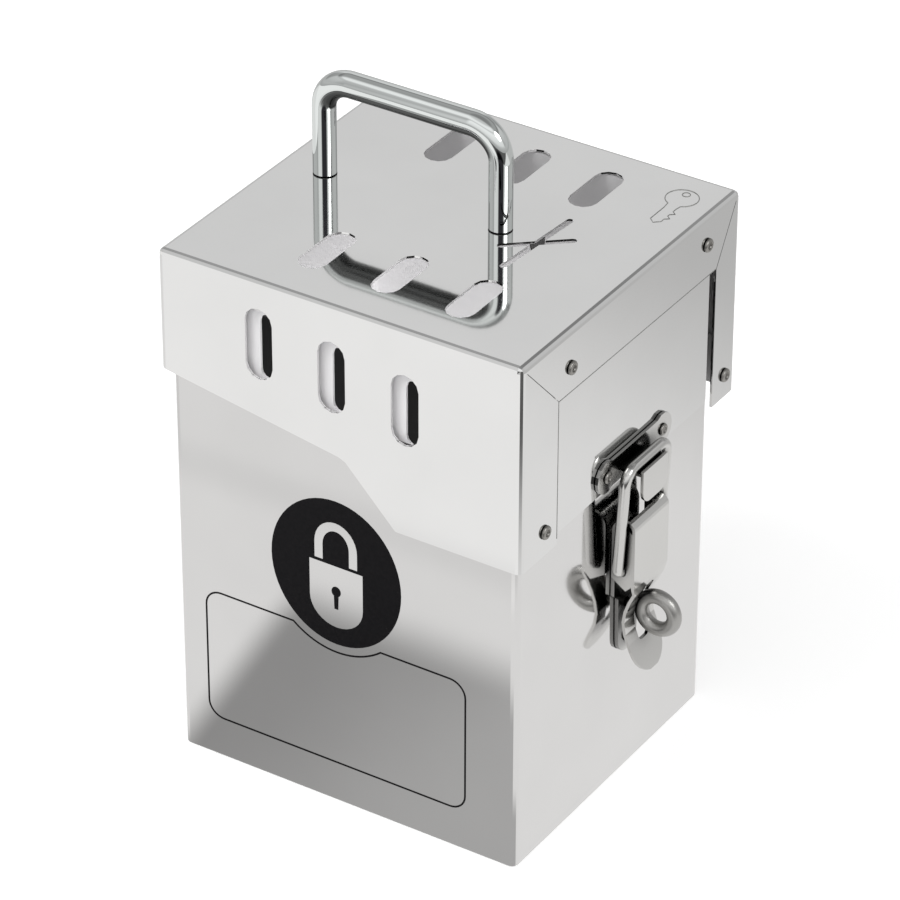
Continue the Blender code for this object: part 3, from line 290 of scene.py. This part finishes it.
def matte_with_painted_light(tree, place, finished, zone, stops):
    """Turn a box-shaped zone matte, with painted light and shade. Each stop is a height, slanted to the rear,
    and its painted grey.
    """
    spots = add(tree, "SeparateXYZ", {"Vector": place}).outputs
    within = 1.0
    for spot, (low, high) in zip(spots, zone):
        above = work_out(tree, "GREATER_THAN", spot, low)
        below = work_out(tree, "LESS_THAN", spot, high)
        within = times(tree, above, below, within)
    height = times(tree, work_out(tree, "MULTIPLY_ADD", spots["Y"], RISE_TO_REAR, spots["Z"]), RAMP_PER_METRE)
    painted_greys = [(rise * RAMP_PER_METRE, (grey, grey * 0.99, grey)) for rise, grey in stops]
    painted_matte = add(tree, "BsdfDiffuse", {"Color": ramp(tree, height, painted_greys)})
    return add(tree, "MixShader", {0: within, 1: finished, 2: painted_matte.outputs[0]}).outputs[0]


def steel(name, colour, roughness, wave, grain, stretch, wear_and_shade=None, painted_light_zones=()):
    """A polished metal. Its wear and painted shade change the tone, and its matte zones carry painted light
    and shade.
    """
    made, tree = new_material(name)
    place = add(tree, "TexCoord").outputs["Object"]
    cloud = noise(tree, place, SMUDGE_SCALE, 4)
    tone = ramp(tree, cloud, [(0.3, tuple(part * SMUDGE_DARK for part in colour)), (0.7, colour)])
    if wear_and_shade:
        tone = wear_and_shade(tree, place, tone)
    grain_place = add(tree, "Mapping", {"Vector": place, "Scale": stretch}).outputs[0]
    lines = noise(tree, grain_place, GRAIN_SCALE, 3)
    smudges = work_out(tree, "MULTIPLY_ADD", lines, GRAIN_SHARE, times(tree, cloud, 1 - GRAIN_SHARE))
    spread = {"Value": smudges, "To Min": roughness * LEAST_ROUGH, "To Max": roughness * MOST_ROUGH}
    waves = bump(tree, noise(tree, place, WAVE_SCALE, 1), wave)
    finished = add(tree, "BsdfPrincipled", {
        "Base Color": tone,
        "Metallic": 1.0,
        "Roughness": add(tree, "MapRange", spread).outputs[0],
        "Normal": bump(tree, lines, grain, waves),
    }).outputs[0]
    for zone, stops in painted_light_zones:
        finished = matte_with_painted_light(tree, place, finished, zone, stops)
    add(tree, "OutputMaterial", {"Surface": finished})
    return made


BODY_FRONT_Y = -0.0700
LID_SHADE_START = (0.112, 0.134)
LID_SHADE = (0.86, 0.86, 0.86, 1)


def shade_below_lid(tree, place, tone):
    """The body's front is a little darker towards the lid's edge, where less light reaches it."""
    _, spot_y, spot_z = add(tree, "SeparateXYZ", {"Vector": place}).outputs
    on_front = work_out(tree, "LESS_THAN", spot_y, BODY_FRONT_Y)
    share = times(tree, soft_step(tree, spot_z, *LID_SHADE_START), on_front)
    return mix(tree, share, tone, LID_SHADE, "MULTIPLY")


def dress(finish, material_slot, start=""):
    """Give a finish to the nodes of a material slot whose names start so."""
    for entry in frame["record"]["subparts"]:
        if entry["material_slot"] == material_slot and entry["node"].startswith(start):
            for slot in frame["nodes"][entry["node"]].material_slots:
                slot.material = finish


# Each matte zone is its reach in x, y and z, and its greys by height, which are painted light
# and shade: pale where light through the slots falls, dark low in the body, greyer under the lid.
LID_INSIDE_PAINTED_LIGHT = (((-0.0740, 0.0735), (-0.0732, 0.0732), (0.0, 0.2132)), ((0.160, 0.92), (0.200, 0.42)))
BODY_INSIDE_PAINTED_LIGHT = (
    ((-0.0722, 0.0722), (-0.0702, 0.0592), (0.0005, 0.2130)),
    ((0.146, 0.02), (0.160, 0.90), (0.200, 0.90), (0.235, 0.46)),
)
BEHIND_SLOTS_PAINTED_LIGHT = (((-0.0640, 0.0400), (-0.0715, -0.0695), (0.1665, 0.2000)), ((0.08, 0.90), (0.20, 0.90)))
BEHIND_LID_PAINTED_SHADE = (((-0.0722, 0.0722), (0.0590, 0.0610), (0.1900, 0.2130)), ((0.08, 0.46), (0.30, 0.46)))
LID_STEEL = steel(
    "lid_steel", (0.80, 0.80, 0.795), roughness=0.05, wave=0.00020, grain=0.0000012, stretch=(1, 0.04, 1),
    painted_light_zones=(LID_INSIDE_PAINTED_LIGHT,),
)
BODY_STEEL = steel(
    "body_steel", (0.78, 0.775, 0.77), roughness=0.07, wave=0.00025, grain=0.0000015, stretch=(1, 1, 0.04),
    wear_and_shade=shade_below_lid, painted_light_zones=(BODY_INSIDE_PAINTED_LIGHT, BEHIND_SLOTS_PAINTED_LIGHT, BEHIND_LID_PAINTED_SHADE),
)
dress(BODY_STEEL, "sheet_steel")
dress(LID_STEEL, "sheet_steel", "lid_")


# Handle: one round chromed steel bar, bent twice, that stands on the lid. It is screwed on
# from below, so its feet meet the lid in a thin dark line. Its underside is darkened with
# painted shade, and a dark reflection is painted down the front of each leg.
# The underside's near black is painted shade, and the dark leg line is a painted reflection.
UNDERSIDE_SHADE_COLOUR, UNDERSIDE_LIT_SHARE = (0.02, 0.02, 0.02, 1), 0.10
UNDERSIDE_START, UNDERSIDE_END = -0.22, -0.04
LEG_REFLECTION_COLOUR, LEG_REFLECTION_EDGE = (0.03, 0.03, 0.034, 1), (0.968, 0.988)


def handle_painted_shade(tree, place, tone):
    """Painted shade where the bar faces down, and a painted dark reflection down the front of each leg."""
    faces = add(tree, "NewGeometry").outputs
    lit_share = add(tree, "MapRange", {
        "Value": add(tree, "SeparateXYZ", {"Vector": faces["True Normal"]}).outputs["Z"],
        "From Min": UNDERSIDE_START,
        "From Max": UNDERSIDE_END,
        "To Min": UNDERSIDE_LIT_SHARE,
    }, interpolation_type="SMOOTHSTEP").outputs[0]
    tone = mix(tree, lit_share, UNDERSIDE_SHADE_COLOUR, tone)
    to_front = {0: faces["Normal"], 1: (*FRONT_CORNER_WAY, 0)}
    frontal = add(tree, "VectorMath", to_front, operation="DOT_PRODUCT").outputs["Value"]
    return mix(tree, soft_step(tree, frontal, *LEG_REFLECTION_EDGE), tone, LEG_REFLECTION_COLOUR)


CHROME = steel(
    "chrome", (0.78, 0.81, 0.80), roughness=0.03, wave=0.00004, grain=0.0000003, stretch=(0.2, 1, 1),
    wear_and_shade=handle_painted_shade,
)
dress(CHROME, "chrome")


def smooth_piece(name, build, node, finish, body, split_angle=35):
    """A finer round form in the place of a plain solid, with its sharp edges kept."""
    bm = bmesh.new()
    build(bm)
    bmesh.ops.recalc_face_normals(bm, faces=bm.faces)
    mesh = bpy.data.meshes.new(name)
    bm.to_mesh(mesh)
    bm.free()
    mesh.shade_smooth()
    mesh.set_sharp_from_angle(angle=math.radians(split_angle))
    mesh.materials.append(finish)
    made = bpy.data.objects.new(name, mesh)
    scene.collection.objects.link(made)
    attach(made, body)
    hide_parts(node)


def ring_of(bm, centre, across, along, radius, sides):
    """Points round a centre, in the plane of two directions."""
    ring = []
    for side in range(sides):
        angle = 2 * math.pi * side / sides
        ring.append(bm.verts.new(centre + (across * math.cos(angle) + along * math.sin(angle)) * radius))
    return ring


def skin(bm, rings):
    """Faces from ring to ring. A ring of one point is a tip."""
    for near_ring, far_ring in zip(rings, rings[1:]):
        for side, far_point in enumerate(far_ring):
            after = (side + 1) % len(far_ring)
            if len(near_ring) == 1:
                bm.faces.new((near_ring[0], far_point, far_ring[after]))
            else:
                bm.faces.new((near_ring[side], near_ring[after], far_ring[after], far_point))


def sweep(bm, path, thickness, sides, edge):
    """A round bar along a path that lies in one plane, with its ends' edges broken."""
    path = [Vector(spot) for spot in path]
    flat_way = (path[1] - path[0]).cross(path[len(path) // 2] - path[0]).normalized()
    last = len(path) - 1
    rings = []
    for index, spot in enumerate(path):
        ahead = (path[min(index + 1, last)] - path[max(index - 1, 0)]).normalized()
        across = ahead.cross(flat_way).normalized()
        stations = [(spot, thickness(spot))]
        if index == 0:
            stations = [(spot, thickness(spot) - edge), (spot + ahead * edge, thickness(spot))]
        elif index == last:
            stations = [(spot - ahead * edge, thickness(spot)), (spot, thickness(spot) - edge)]
        rings += [ring_of(bm, centre, across, flat_way, radius, sides) for centre, radius in stations]
    skin(bm, rings)
    bm.faces.new(rings[0])
    bm.faces.new(list(reversed(rings[-1])))


def arc(centre, radius_x, radius_y, start, end, steps):
    """Points along part of an ellipse, with its start and end in degrees."""
    points = []
    for step in range(steps + 1):
        angle = math.radians(start + (end - start) * step / steps)
        points.append((centre[0] + radius_x * math.cos(angle), centre[1] + radius_y * math.sin(angle)))
    return points


HANDLE_LOW, HANDLE_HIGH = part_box("handle")
SOLID_BAR_R = 0.0048
BAR_R = 0.00495
LEG_R = 0.0045
BAR_BEND = 0.0120
BAR_SIDES = 48
END_EDGE = 0.0002
BAR_MIDDLE_Y = (HANDLE_LOW[1] + HANDLE_HIGH[1]) / 2
BAR_Z = HANDLE_HIGH[2] - BAR_R
BEND_Z = BAR_Z - BAR_BEND
handle_left, handle_right = HANDLE_LOW[0] + SOLID_BAR_R, HANDLE_HIGH[0] - SOLID_BAR_R
handle_outline = [
    (handle_left, HANDLE_LOW[2]),
    *arc((handle_left + BAR_BEND, BEND_Z), BAR_BEND, BAR_BEND, 180, 90, 24),
    *arc((handle_right - BAR_BEND, BEND_Z), BAR_BEND, BAR_BEND, 90, 0, 24),
    (handle_right, HANDLE_LOW[2]),
]


def handle_thickness(spot):
    """The bar is a little thicker in the grip than in its legs."""
    share = min(max((spot.z - BEND_Z) / BAR_BEND, 0.0), 1.0)
    return LEG_R + (BAR_R - LEG_R) * share * share * (3 - 2 * share)


def build_handle(bm):
    path = [(place_x, BAR_MIDDLE_Y, place_z) for place_x, place_z in handle_outline]
    sweep(bm, path, handle_thickness, BAR_SIDES, END_EDGE)


smooth_piece("handle_bar", build_handle, "handle", CHROME, "lid")


# Padlock eye: a ring of round steel wire, welded shut, on a short round stem. It stands out
# through the lever's slot, and the group's padlock goes through it.
def grease_and_shade(reach, darkest):
    """Grease and painted shade, which gather where other pieces stand close."""
    def wear_and_shade(tree, place, tone):
        near_pieces = add(tree, "AmbientOcclusion", {"Distance": reach}, samples=12).outputs["AO"]
        return mix(tree, 1.0, tone, ramp(tree, near_pieces, [(0.30, darkest), (0.92, 1.0)]), "MULTIPLY")
    return wear_and_shade


EYE_STEEL = steel(
    "eye_steel", (0.46, 0.455, 0.44), roughness=0.34, wave=0.00006, grain=0.000002, stretch=(1, 1, 1),
    wear_and_shade=grease_and_shade(0.007, 0.06),
)
EYE_LOW, EYE_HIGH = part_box("padlock_eye")
EYE_WIRE = 0.0028
EYE_RING = 0.0070
EYE_RING_TRIM = 0.00014
EYE_TO_TIP = 0.00966
EYE_TURNS, EYE_SIDES, STEM_SIDES = 64, 28, 24
STEM_R = 0.0022
STEM_TAIL_R, STEM_WELD_R = 0.0019, 0.0027
STEM_TAIL, STEM_REACH, STEM_WELD_REACH = 0.0003, 0.0088, 0.0066
SIDEWAYS, UPWARD = Vector((0, 1, 0)), Vector((0, 0, 1))


def build_eye(bm):
    eye_centre = (Vector(EYE_LOW) + Vector(EYE_HIGH)) / 2
    eye_centre.x = EYE_HIGH[0] - EYE_TO_TIP
    rings = []
    for turn_step in range(EYE_TURNS):
        around = 2 * math.pi * turn_step / EYE_TURNS
        out_way = Vector((math.cos(around), 0, math.sin(around)))
        wire_centre = eye_centre + out_way * (EYE_RING - EYE_RING_TRIM)
        rings.append(ring_of(bm, wire_centre, out_way, SIDEWAYS, EYE_WIRE, EYE_SIDES))
    skin(bm, rings + rings[:1])
    stem = [
        ring_of(bm, Vector((place_x, eye_centre.y, eye_centre.z)), SIDEWAYS, UPWARD, radius, STEM_SIDES)
        for place_x, radius in (
            (EYE_LOW[0], STEM_TAIL_R),
            (EYE_LOW[0] + STEM_TAIL, STEM_R),
            (eye_centre.x - STEM_REACH, STEM_R),
            (eye_centre.x - STEM_WELD_REACH, STEM_WELD_R),
        )
    ]
    skin(bm, stem)
    bm.faces.new(stem[0])
    bm.faces.new(list(reversed(stem[-1])))


smooth_piece("padlock_ring", build_eye, "padlock_eye", EYE_STEEL, "box")


# Latch and its bail: pressed steel, plated, and darkened in its corners by grease and painted
# shade. The bail is a loop of thick wire. Its two ends turn in the lever's side holes, and its
# top bar hooks behind the keeper's lip.
PART_STEEL = steel(
    "part_steel", (0.70, 0.695, 0.68), roughness=0.16, wave=0.00008, grain=0.0000008, stretch=(1, 1, 0.2),
    wear_and_shade=grease_and_shade(0.009, 0.03),
)
dress(PART_STEEL, "latch_steel")

BAIL_LOW, BAIL_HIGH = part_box("latch_bail")
WIRE = 0.0021
WIRE_SIDES = 28
BAIL_LEG_Y = 0.0143
BAIL_END_Y = 0.0104
BAIL_FOOT_BEND = 0.0030
BAIL_TOP_BEND = 0.0055
bail_middle_y = (BAIL_LOW[1] + BAIL_HIGH[1]) / 2
bail_foot_x, bail_foot_z = BAIL_LOW[0] + WIRE, BAIL_LOW[2] + WIRE
bail_top_x, bail_top_z = BAIL_HIGH[0] - WIRE, BAIL_HIGH[2] - WIRE
foot_centre = (BAIL_LEG_Y - BAIL_FOOT_BEND, bail_foot_z + BAIL_FOOT_BEND)
top_centre = (BAIL_LEG_Y - BAIL_TOP_BEND, bail_top_z - BAIL_TOP_BEND)
half_bail = [
    (BAIL_END_Y, bail_foot_z),
    *arc(foot_centre, BAIL_FOOT_BEND, BAIL_FOOT_BEND, -90, 0, 12),
    *arc(top_centre, BAIL_TOP_BEND, BAIL_TOP_BEND, 0, 90, 16),
]


def bail_place(side, off, place_z):
    share = (place_z - bail_foot_z) / (bail_top_z - bail_foot_z)
    return bail_foot_x + (bail_top_x - bail_foot_x) * share, bail_middle_y + side * off, place_z


def build_bail(bm):
    path = [bail_place(-1, off, place_z) for off, place_z in half_bail]
    path += [bail_place(1, off, place_z) for off, place_z in reversed(half_bail)]
    sweep(bm, path, lambda spot: WIRE, WIRE_SIDES, END_EDGE)


smooth_piece("bail_wire", build_bail, "latch_bail", PART_STEEL, "latch_bail")


# Rivets: tubular steel rivets with low domed heads and a small hollow in the middle. They
# hold the lid's side sheets, the hinge and the two halves of the latch.
RIVET_STEEL = steel(
    "rivet_steel", (0.36, 0.35, 0.33), roughness=0.36, wave=0.00005, grain=0.000001, stretch=(1, 1, 1),
    wear_and_shade=grease_and_shade(0.0025, 0.02),
)
dress(RIVET_STEEL, "rivet_steel")

SMALL_HEAD_R = 0.0025
SMALL_HEAD_HEIGHT, LARGE_HEAD_HEIGHT = 0.0008, 0.0011
RIVET_SIDES = 32
SHANK_SHARE = 0.57
HEAD_SHARES = [
    (0.34, 0.62), (0.46, 0.40), (0.52, 0.10), (0.60, 0.0), (0.72, 0.02), (0.84, 0.14),
    (0.93, 0.36), (0.99, 0.66), (1.00, 0.98), (SHANK_SHARE, 1.0),
]


def build_rivet(bm, node):
    """From the hollow in the head, over its dome, to the shank's tail."""
    low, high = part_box(node)
    side = 1 if low[0] > 0 else -1
    tip, tail = (high[0], low[0]) if side > 0 else (low[0], high[0])
    radius = (high[2] - low[2]) / 2
    middle_y, middle_z = (low[1] + high[1]) / 2, (low[2] + high[2]) / 2
    head_height = SMALL_HEAD_HEIGHT if radius < SMALL_HEAD_R else LARGE_HEAD_HEIGHT
    head = [(share, tip - side * head_height * depth) for share, depth in HEAD_SHARES]
    rings = [[bm.verts.new((tip - side * head_height * HEAD_SHARES[0][1], middle_y, middle_z))]]
    for share, spot_x in [*head, (SHANK_SHARE, tail)]:
        centre = Vector((spot_x, middle_y, middle_z))
        rings.append(ring_of(bm, centre, SIDEWAYS, UPWARD, radius * share, RIVET_SIDES))
    skin(bm, rings)
    bm.faces.new(rings[-1])


for node in [name for name in frame["nodes"] if "rivet" in name]:
    body = "lid" if node.startswith(("lid_", "hinge_rivet_lid", "keeper_")) else "box"
    smooth_piece("head_of_" + node, lambda bm: build_rivet(bm, node), node, RIVET_STEEL, body)


# Front print: a black disc with a plain padlock shape, and a thin rounded frame below it.
# Both are printed in matte black ink straight onto the body's front wall.
INK_LIFT = 0.00006
FRONT_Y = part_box("body_shell")[0][1]
LID_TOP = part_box("lid_shell")[1][2]

ink, tree = new_material("print_ink")
speck = noise(tree, add(tree, "TexCoord").outputs["Object"], 700)
printed = add(tree, "BsdfPrincipled", {
    "Base Color": ramp(tree, speck, [(0.0, (0.003, 0.003, 0.004)), (1.0, (0.010, 0.009, 0.010))]),
    "Roughness": 0.5,
    "Specular IOR Level": 0.08,
    "Normal": bump(tree, speck, 0.00002),
})
add(tree, "OutputMaterial", {"Surface": printed.outputs[0]})


def print_shape(name, outlines):
    """Fill outlines on the front wall, from the lid's middle and top. Inner ones are holes."""
    curve = bpy.data.curves.new(name, "CURVE")
    curve.dimensions = "2D"
    curve.fill_mode = "BOTH"
    curve.extrude = INK_LIFT / 3
    for outline in outlines:
        spline = curve.splines.new("POLY")
        spline.points.add(len(outline) - 1)
        for point, spot in zip(spline.points, outline):
            point.co = (*spot, 0, 1)
        spline.use_cyclic_u = True
    holder = bpy.data.objects.new(name + "_curve", curve)
    scene.collection.objects.link(holder)
    flat = bpy.data.meshes.new_from_object(holder.evaluated_get(bpy.context.evaluated_depsgraph_get()))
    bpy.data.objects.remove(holder, do_unlink=True)
    flat.transform(Matrix(((1, 0, 0, 0), (0, 0, -1, FRONT_Y - INK_LIFT), (0, 1, 0, LID_TOP), (0, 0, 0, 1))))
    flat.name = name
    made = bpy.data.objects.new(name, flat)
    scene.collection.objects.link(made)
    flat.materials.clear()
    flat.materials.append(ink)
    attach(made, "box")


DISC_X, DISC_Z = -0.0035, -0.1134
DISC_R = (0.0279, 0.0308)
LOCK_HALF = 0.0115
LOCK_ROUND = 0.011
LOCK_TOP, LOCK_LOW = DISC_Z + 0.003, DISC_Z - 0.0235
SHACKLE_OUTER, SHACKLE_INNER = (0.0092, 0.0105), (0.0056, 0.0068)
SHACKLE_FOOT = LOCK_TOP + 0.0012
SHACKLE_MIDDLE = (DISC_X, LOCK_TOP + 0.008)
KEYHOLE_MIDDLE = (DISC_X, DISC_Z - 0.008)
KEYHOLE_R = (0.0020, 0.0022)
KEYHOLE_FOOT_HALF, KEYHOLE_FOOT_DROP = 0.0008, 0.0075

disc = arc((DISC_X, DISC_Z), *DISC_R, 0, 354, 59)
lock_body = [
    (DISC_X - LOCK_HALF, LOCK_TOP),
    (DISC_X - LOCK_HALF, LOCK_LOW + LOCK_ROUND),
    *arc((DISC_X, LOCK_LOW + LOCK_ROUND), LOCK_HALF, LOCK_ROUND, 180, 360, 16),
    (DISC_X + LOCK_HALF, LOCK_TOP),
]
shackle = [
    (DISC_X + SHACKLE_OUTER[0], SHACKLE_FOOT),
    *arc(SHACKLE_MIDDLE, *SHACKLE_OUTER, 0, 180, 16),
    (DISC_X - SHACKLE_OUTER[0], SHACKLE_FOOT),
    (DISC_X - SHACKLE_INNER[0], SHACKLE_FOOT),
    *arc(SHACKLE_MIDDLE, *SHACKLE_INNER, 180, 0, 16),
    (DISC_X + SHACKLE_INNER[0], SHACKLE_FOOT),
]
print_shape("printed_disc", [disc, lock_body, shackle])
keyhole_foot_z = KEYHOLE_MIDDLE[1] - KEYHOLE_FOOT_DROP
print_shape("printed_keyhole", [[
    *arc(KEYHOLE_MIDDLE, *KEYHOLE_R, -60, 240, 14),
    (DISC_X - KEYHOLE_FOOT_HALF, keyhole_foot_z),
    (DISC_X + KEYHOLE_FOOT_HALF, keyhole_foot_z),
]])

FRAME_LINE = 0.0007
FRAME_X = (-0.0615, 0.052)
FRAME_Z = (-0.1975, -0.1405)
FRAME_CORNER = 0.007
FRAME_TO_DISC = 0.0032


def frame_outline(inset):
    """A rounded frame whose top dips round the disc, moved in by an inset."""
    dip_x, dip_z = DISC_R[0] + FRAME_TO_DISC + inset, DISC_R[1] + FRAME_TO_DISC + inset
    top_share = (FRAME_Z[1] - inset - DISC_Z) / dip_z
    reach = math.sqrt(max(1 - top_share ** 2, 0))
    dip_start = math.degrees(math.atan2(top_share, -reach))
    dip_end = math.degrees(math.atan2(top_share, reach))
    left, right = FRAME_X[0] + FRAME_CORNER, FRAME_X[1] - FRAME_CORNER
    low, high = FRAME_Z[0] + FRAME_CORNER, FRAME_Z[1] - FRAME_CORNER
    corner = FRAME_CORNER - inset
    return [
        *arc((left, high), corner, corner, 180, 90, 8),
        *arc((DISC_X, DISC_Z), dip_x, dip_z, dip_start, dip_end, 20),
        *arc((right, high), corner, corner, 90, 0, 8),
        *arc((right, low), corner, corner, 0, -90, 8),
        *arc((left, low), corner, corner, 270, 180, 8),
    ]


print_shape("printed_frame", [frame_outline(0), frame_outline(FRAME_LINE)])


# Seams: the lid's folded tabs lie on its right side sheet. A thin grey line laid along their
# edges is painted shade.
SEAM_R = 0.00016
SEAM_X = 0.0760
TAB_FRONT_Y, TAB_REAR_Y = -0.0500, 0.0575
TAB_LOW_Z, TAB_TOP_Z = 0.1325, 0.1889

# Its grey is painted shade along the tabs' seams, and the grey of the engraved key mark.
mark_and_shade_line, tree = new_material("mark_and_shade_line")
speck = noise(tree, add(tree, "TexCoord").outputs["Object"], 1500)
shaded = add(tree, "BsdfPrincipled", {
    "Base Color": ramp(tree, speck, [(0.0, (0.26, 0.26, 0.25)), (1.0, (0.46, 0.46, 0.45))]),
    "Metallic": 0.6,
    "Roughness": 0.5,
})
add(tree, "OutputMaterial", {"Surface": shaded.outputs[0]})


def thin_line(name, points, radius, closed=False):
    curve = bpy.data.curves.new(name, "CURVE")
    curve.dimensions = "3D"
    curve.bevel_depth = radius
    curve.bevel_resolution = 1
    spline = curve.splines.new("POLY")
    spline.points.add(len(points) - 1)
    for point, spot in zip(spline.points, points):
        point.co = (*spot, 1)
    spline.use_cyclic_u = closed
    made = bpy.data.objects.new(name, curve)
    scene.collection.objects.link(made)
    curve.materials.append(mark_and_shade_line)
    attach(made, "lid")


tab_corner = (SEAM_X, TAB_FRONT_Y, TAB_TOP_Z)
thin_line("shade_line_of_front_tab", [(SEAM_X, TAB_FRONT_Y, TAB_LOW_Z), tab_corner], SEAM_R)
thin_line("shade_line_of_top_tab", [tab_corner, (SEAM_X, TAB_REAR_Y, TAB_TOP_Z)], SEAM_R)


# Key mark: a thin engraved outline of a key on the lid's rear right corner, a round bow
# behind and a short toothed blade in front.
MARK_R = 0.00020
MARK_Z = LID_TOP + 0.00001
KEY_BOW = (0.0615, 0.0570)
KEY_BOW_R = 0.0062
KEY_EYE_R = 0.0015
KEY_EYE_OFF = 0.0030
BLADE = [
    (-0.0022, -0.0090), (-0.0022, -0.0185), (0.0000, -0.0205), (0.0022, -0.0185), (0.0022, -0.0165),
    (0.0038, -0.0152), (0.0022, -0.0139), (0.0022, -0.0127), (0.0038, -0.0114), (0.0022, -0.0101),
    (0.0022, -0.0080),
]
key_outline = arc(KEY_BOW, KEY_BOW_R, KEY_BOW_R, -65, 245, 20)
key_outline += [(KEY_BOW[0] + off_x, KEY_BOW[1] + off_y) for off_x, off_y in BLADE]
key_eye = arc((KEY_BOW[0], KEY_BOW[1] + KEY_EYE_OFF), KEY_EYE_R, KEY_EYE_R, 0, 330, 11)
thin_line("key_mark", [(*spot, MARK_Z) for spot in key_outline], MARK_R, closed=True)
thin_line("key_mark_eye", [(*spot, MARK_Z) for spot in key_eye], MARK_R, closed=True)
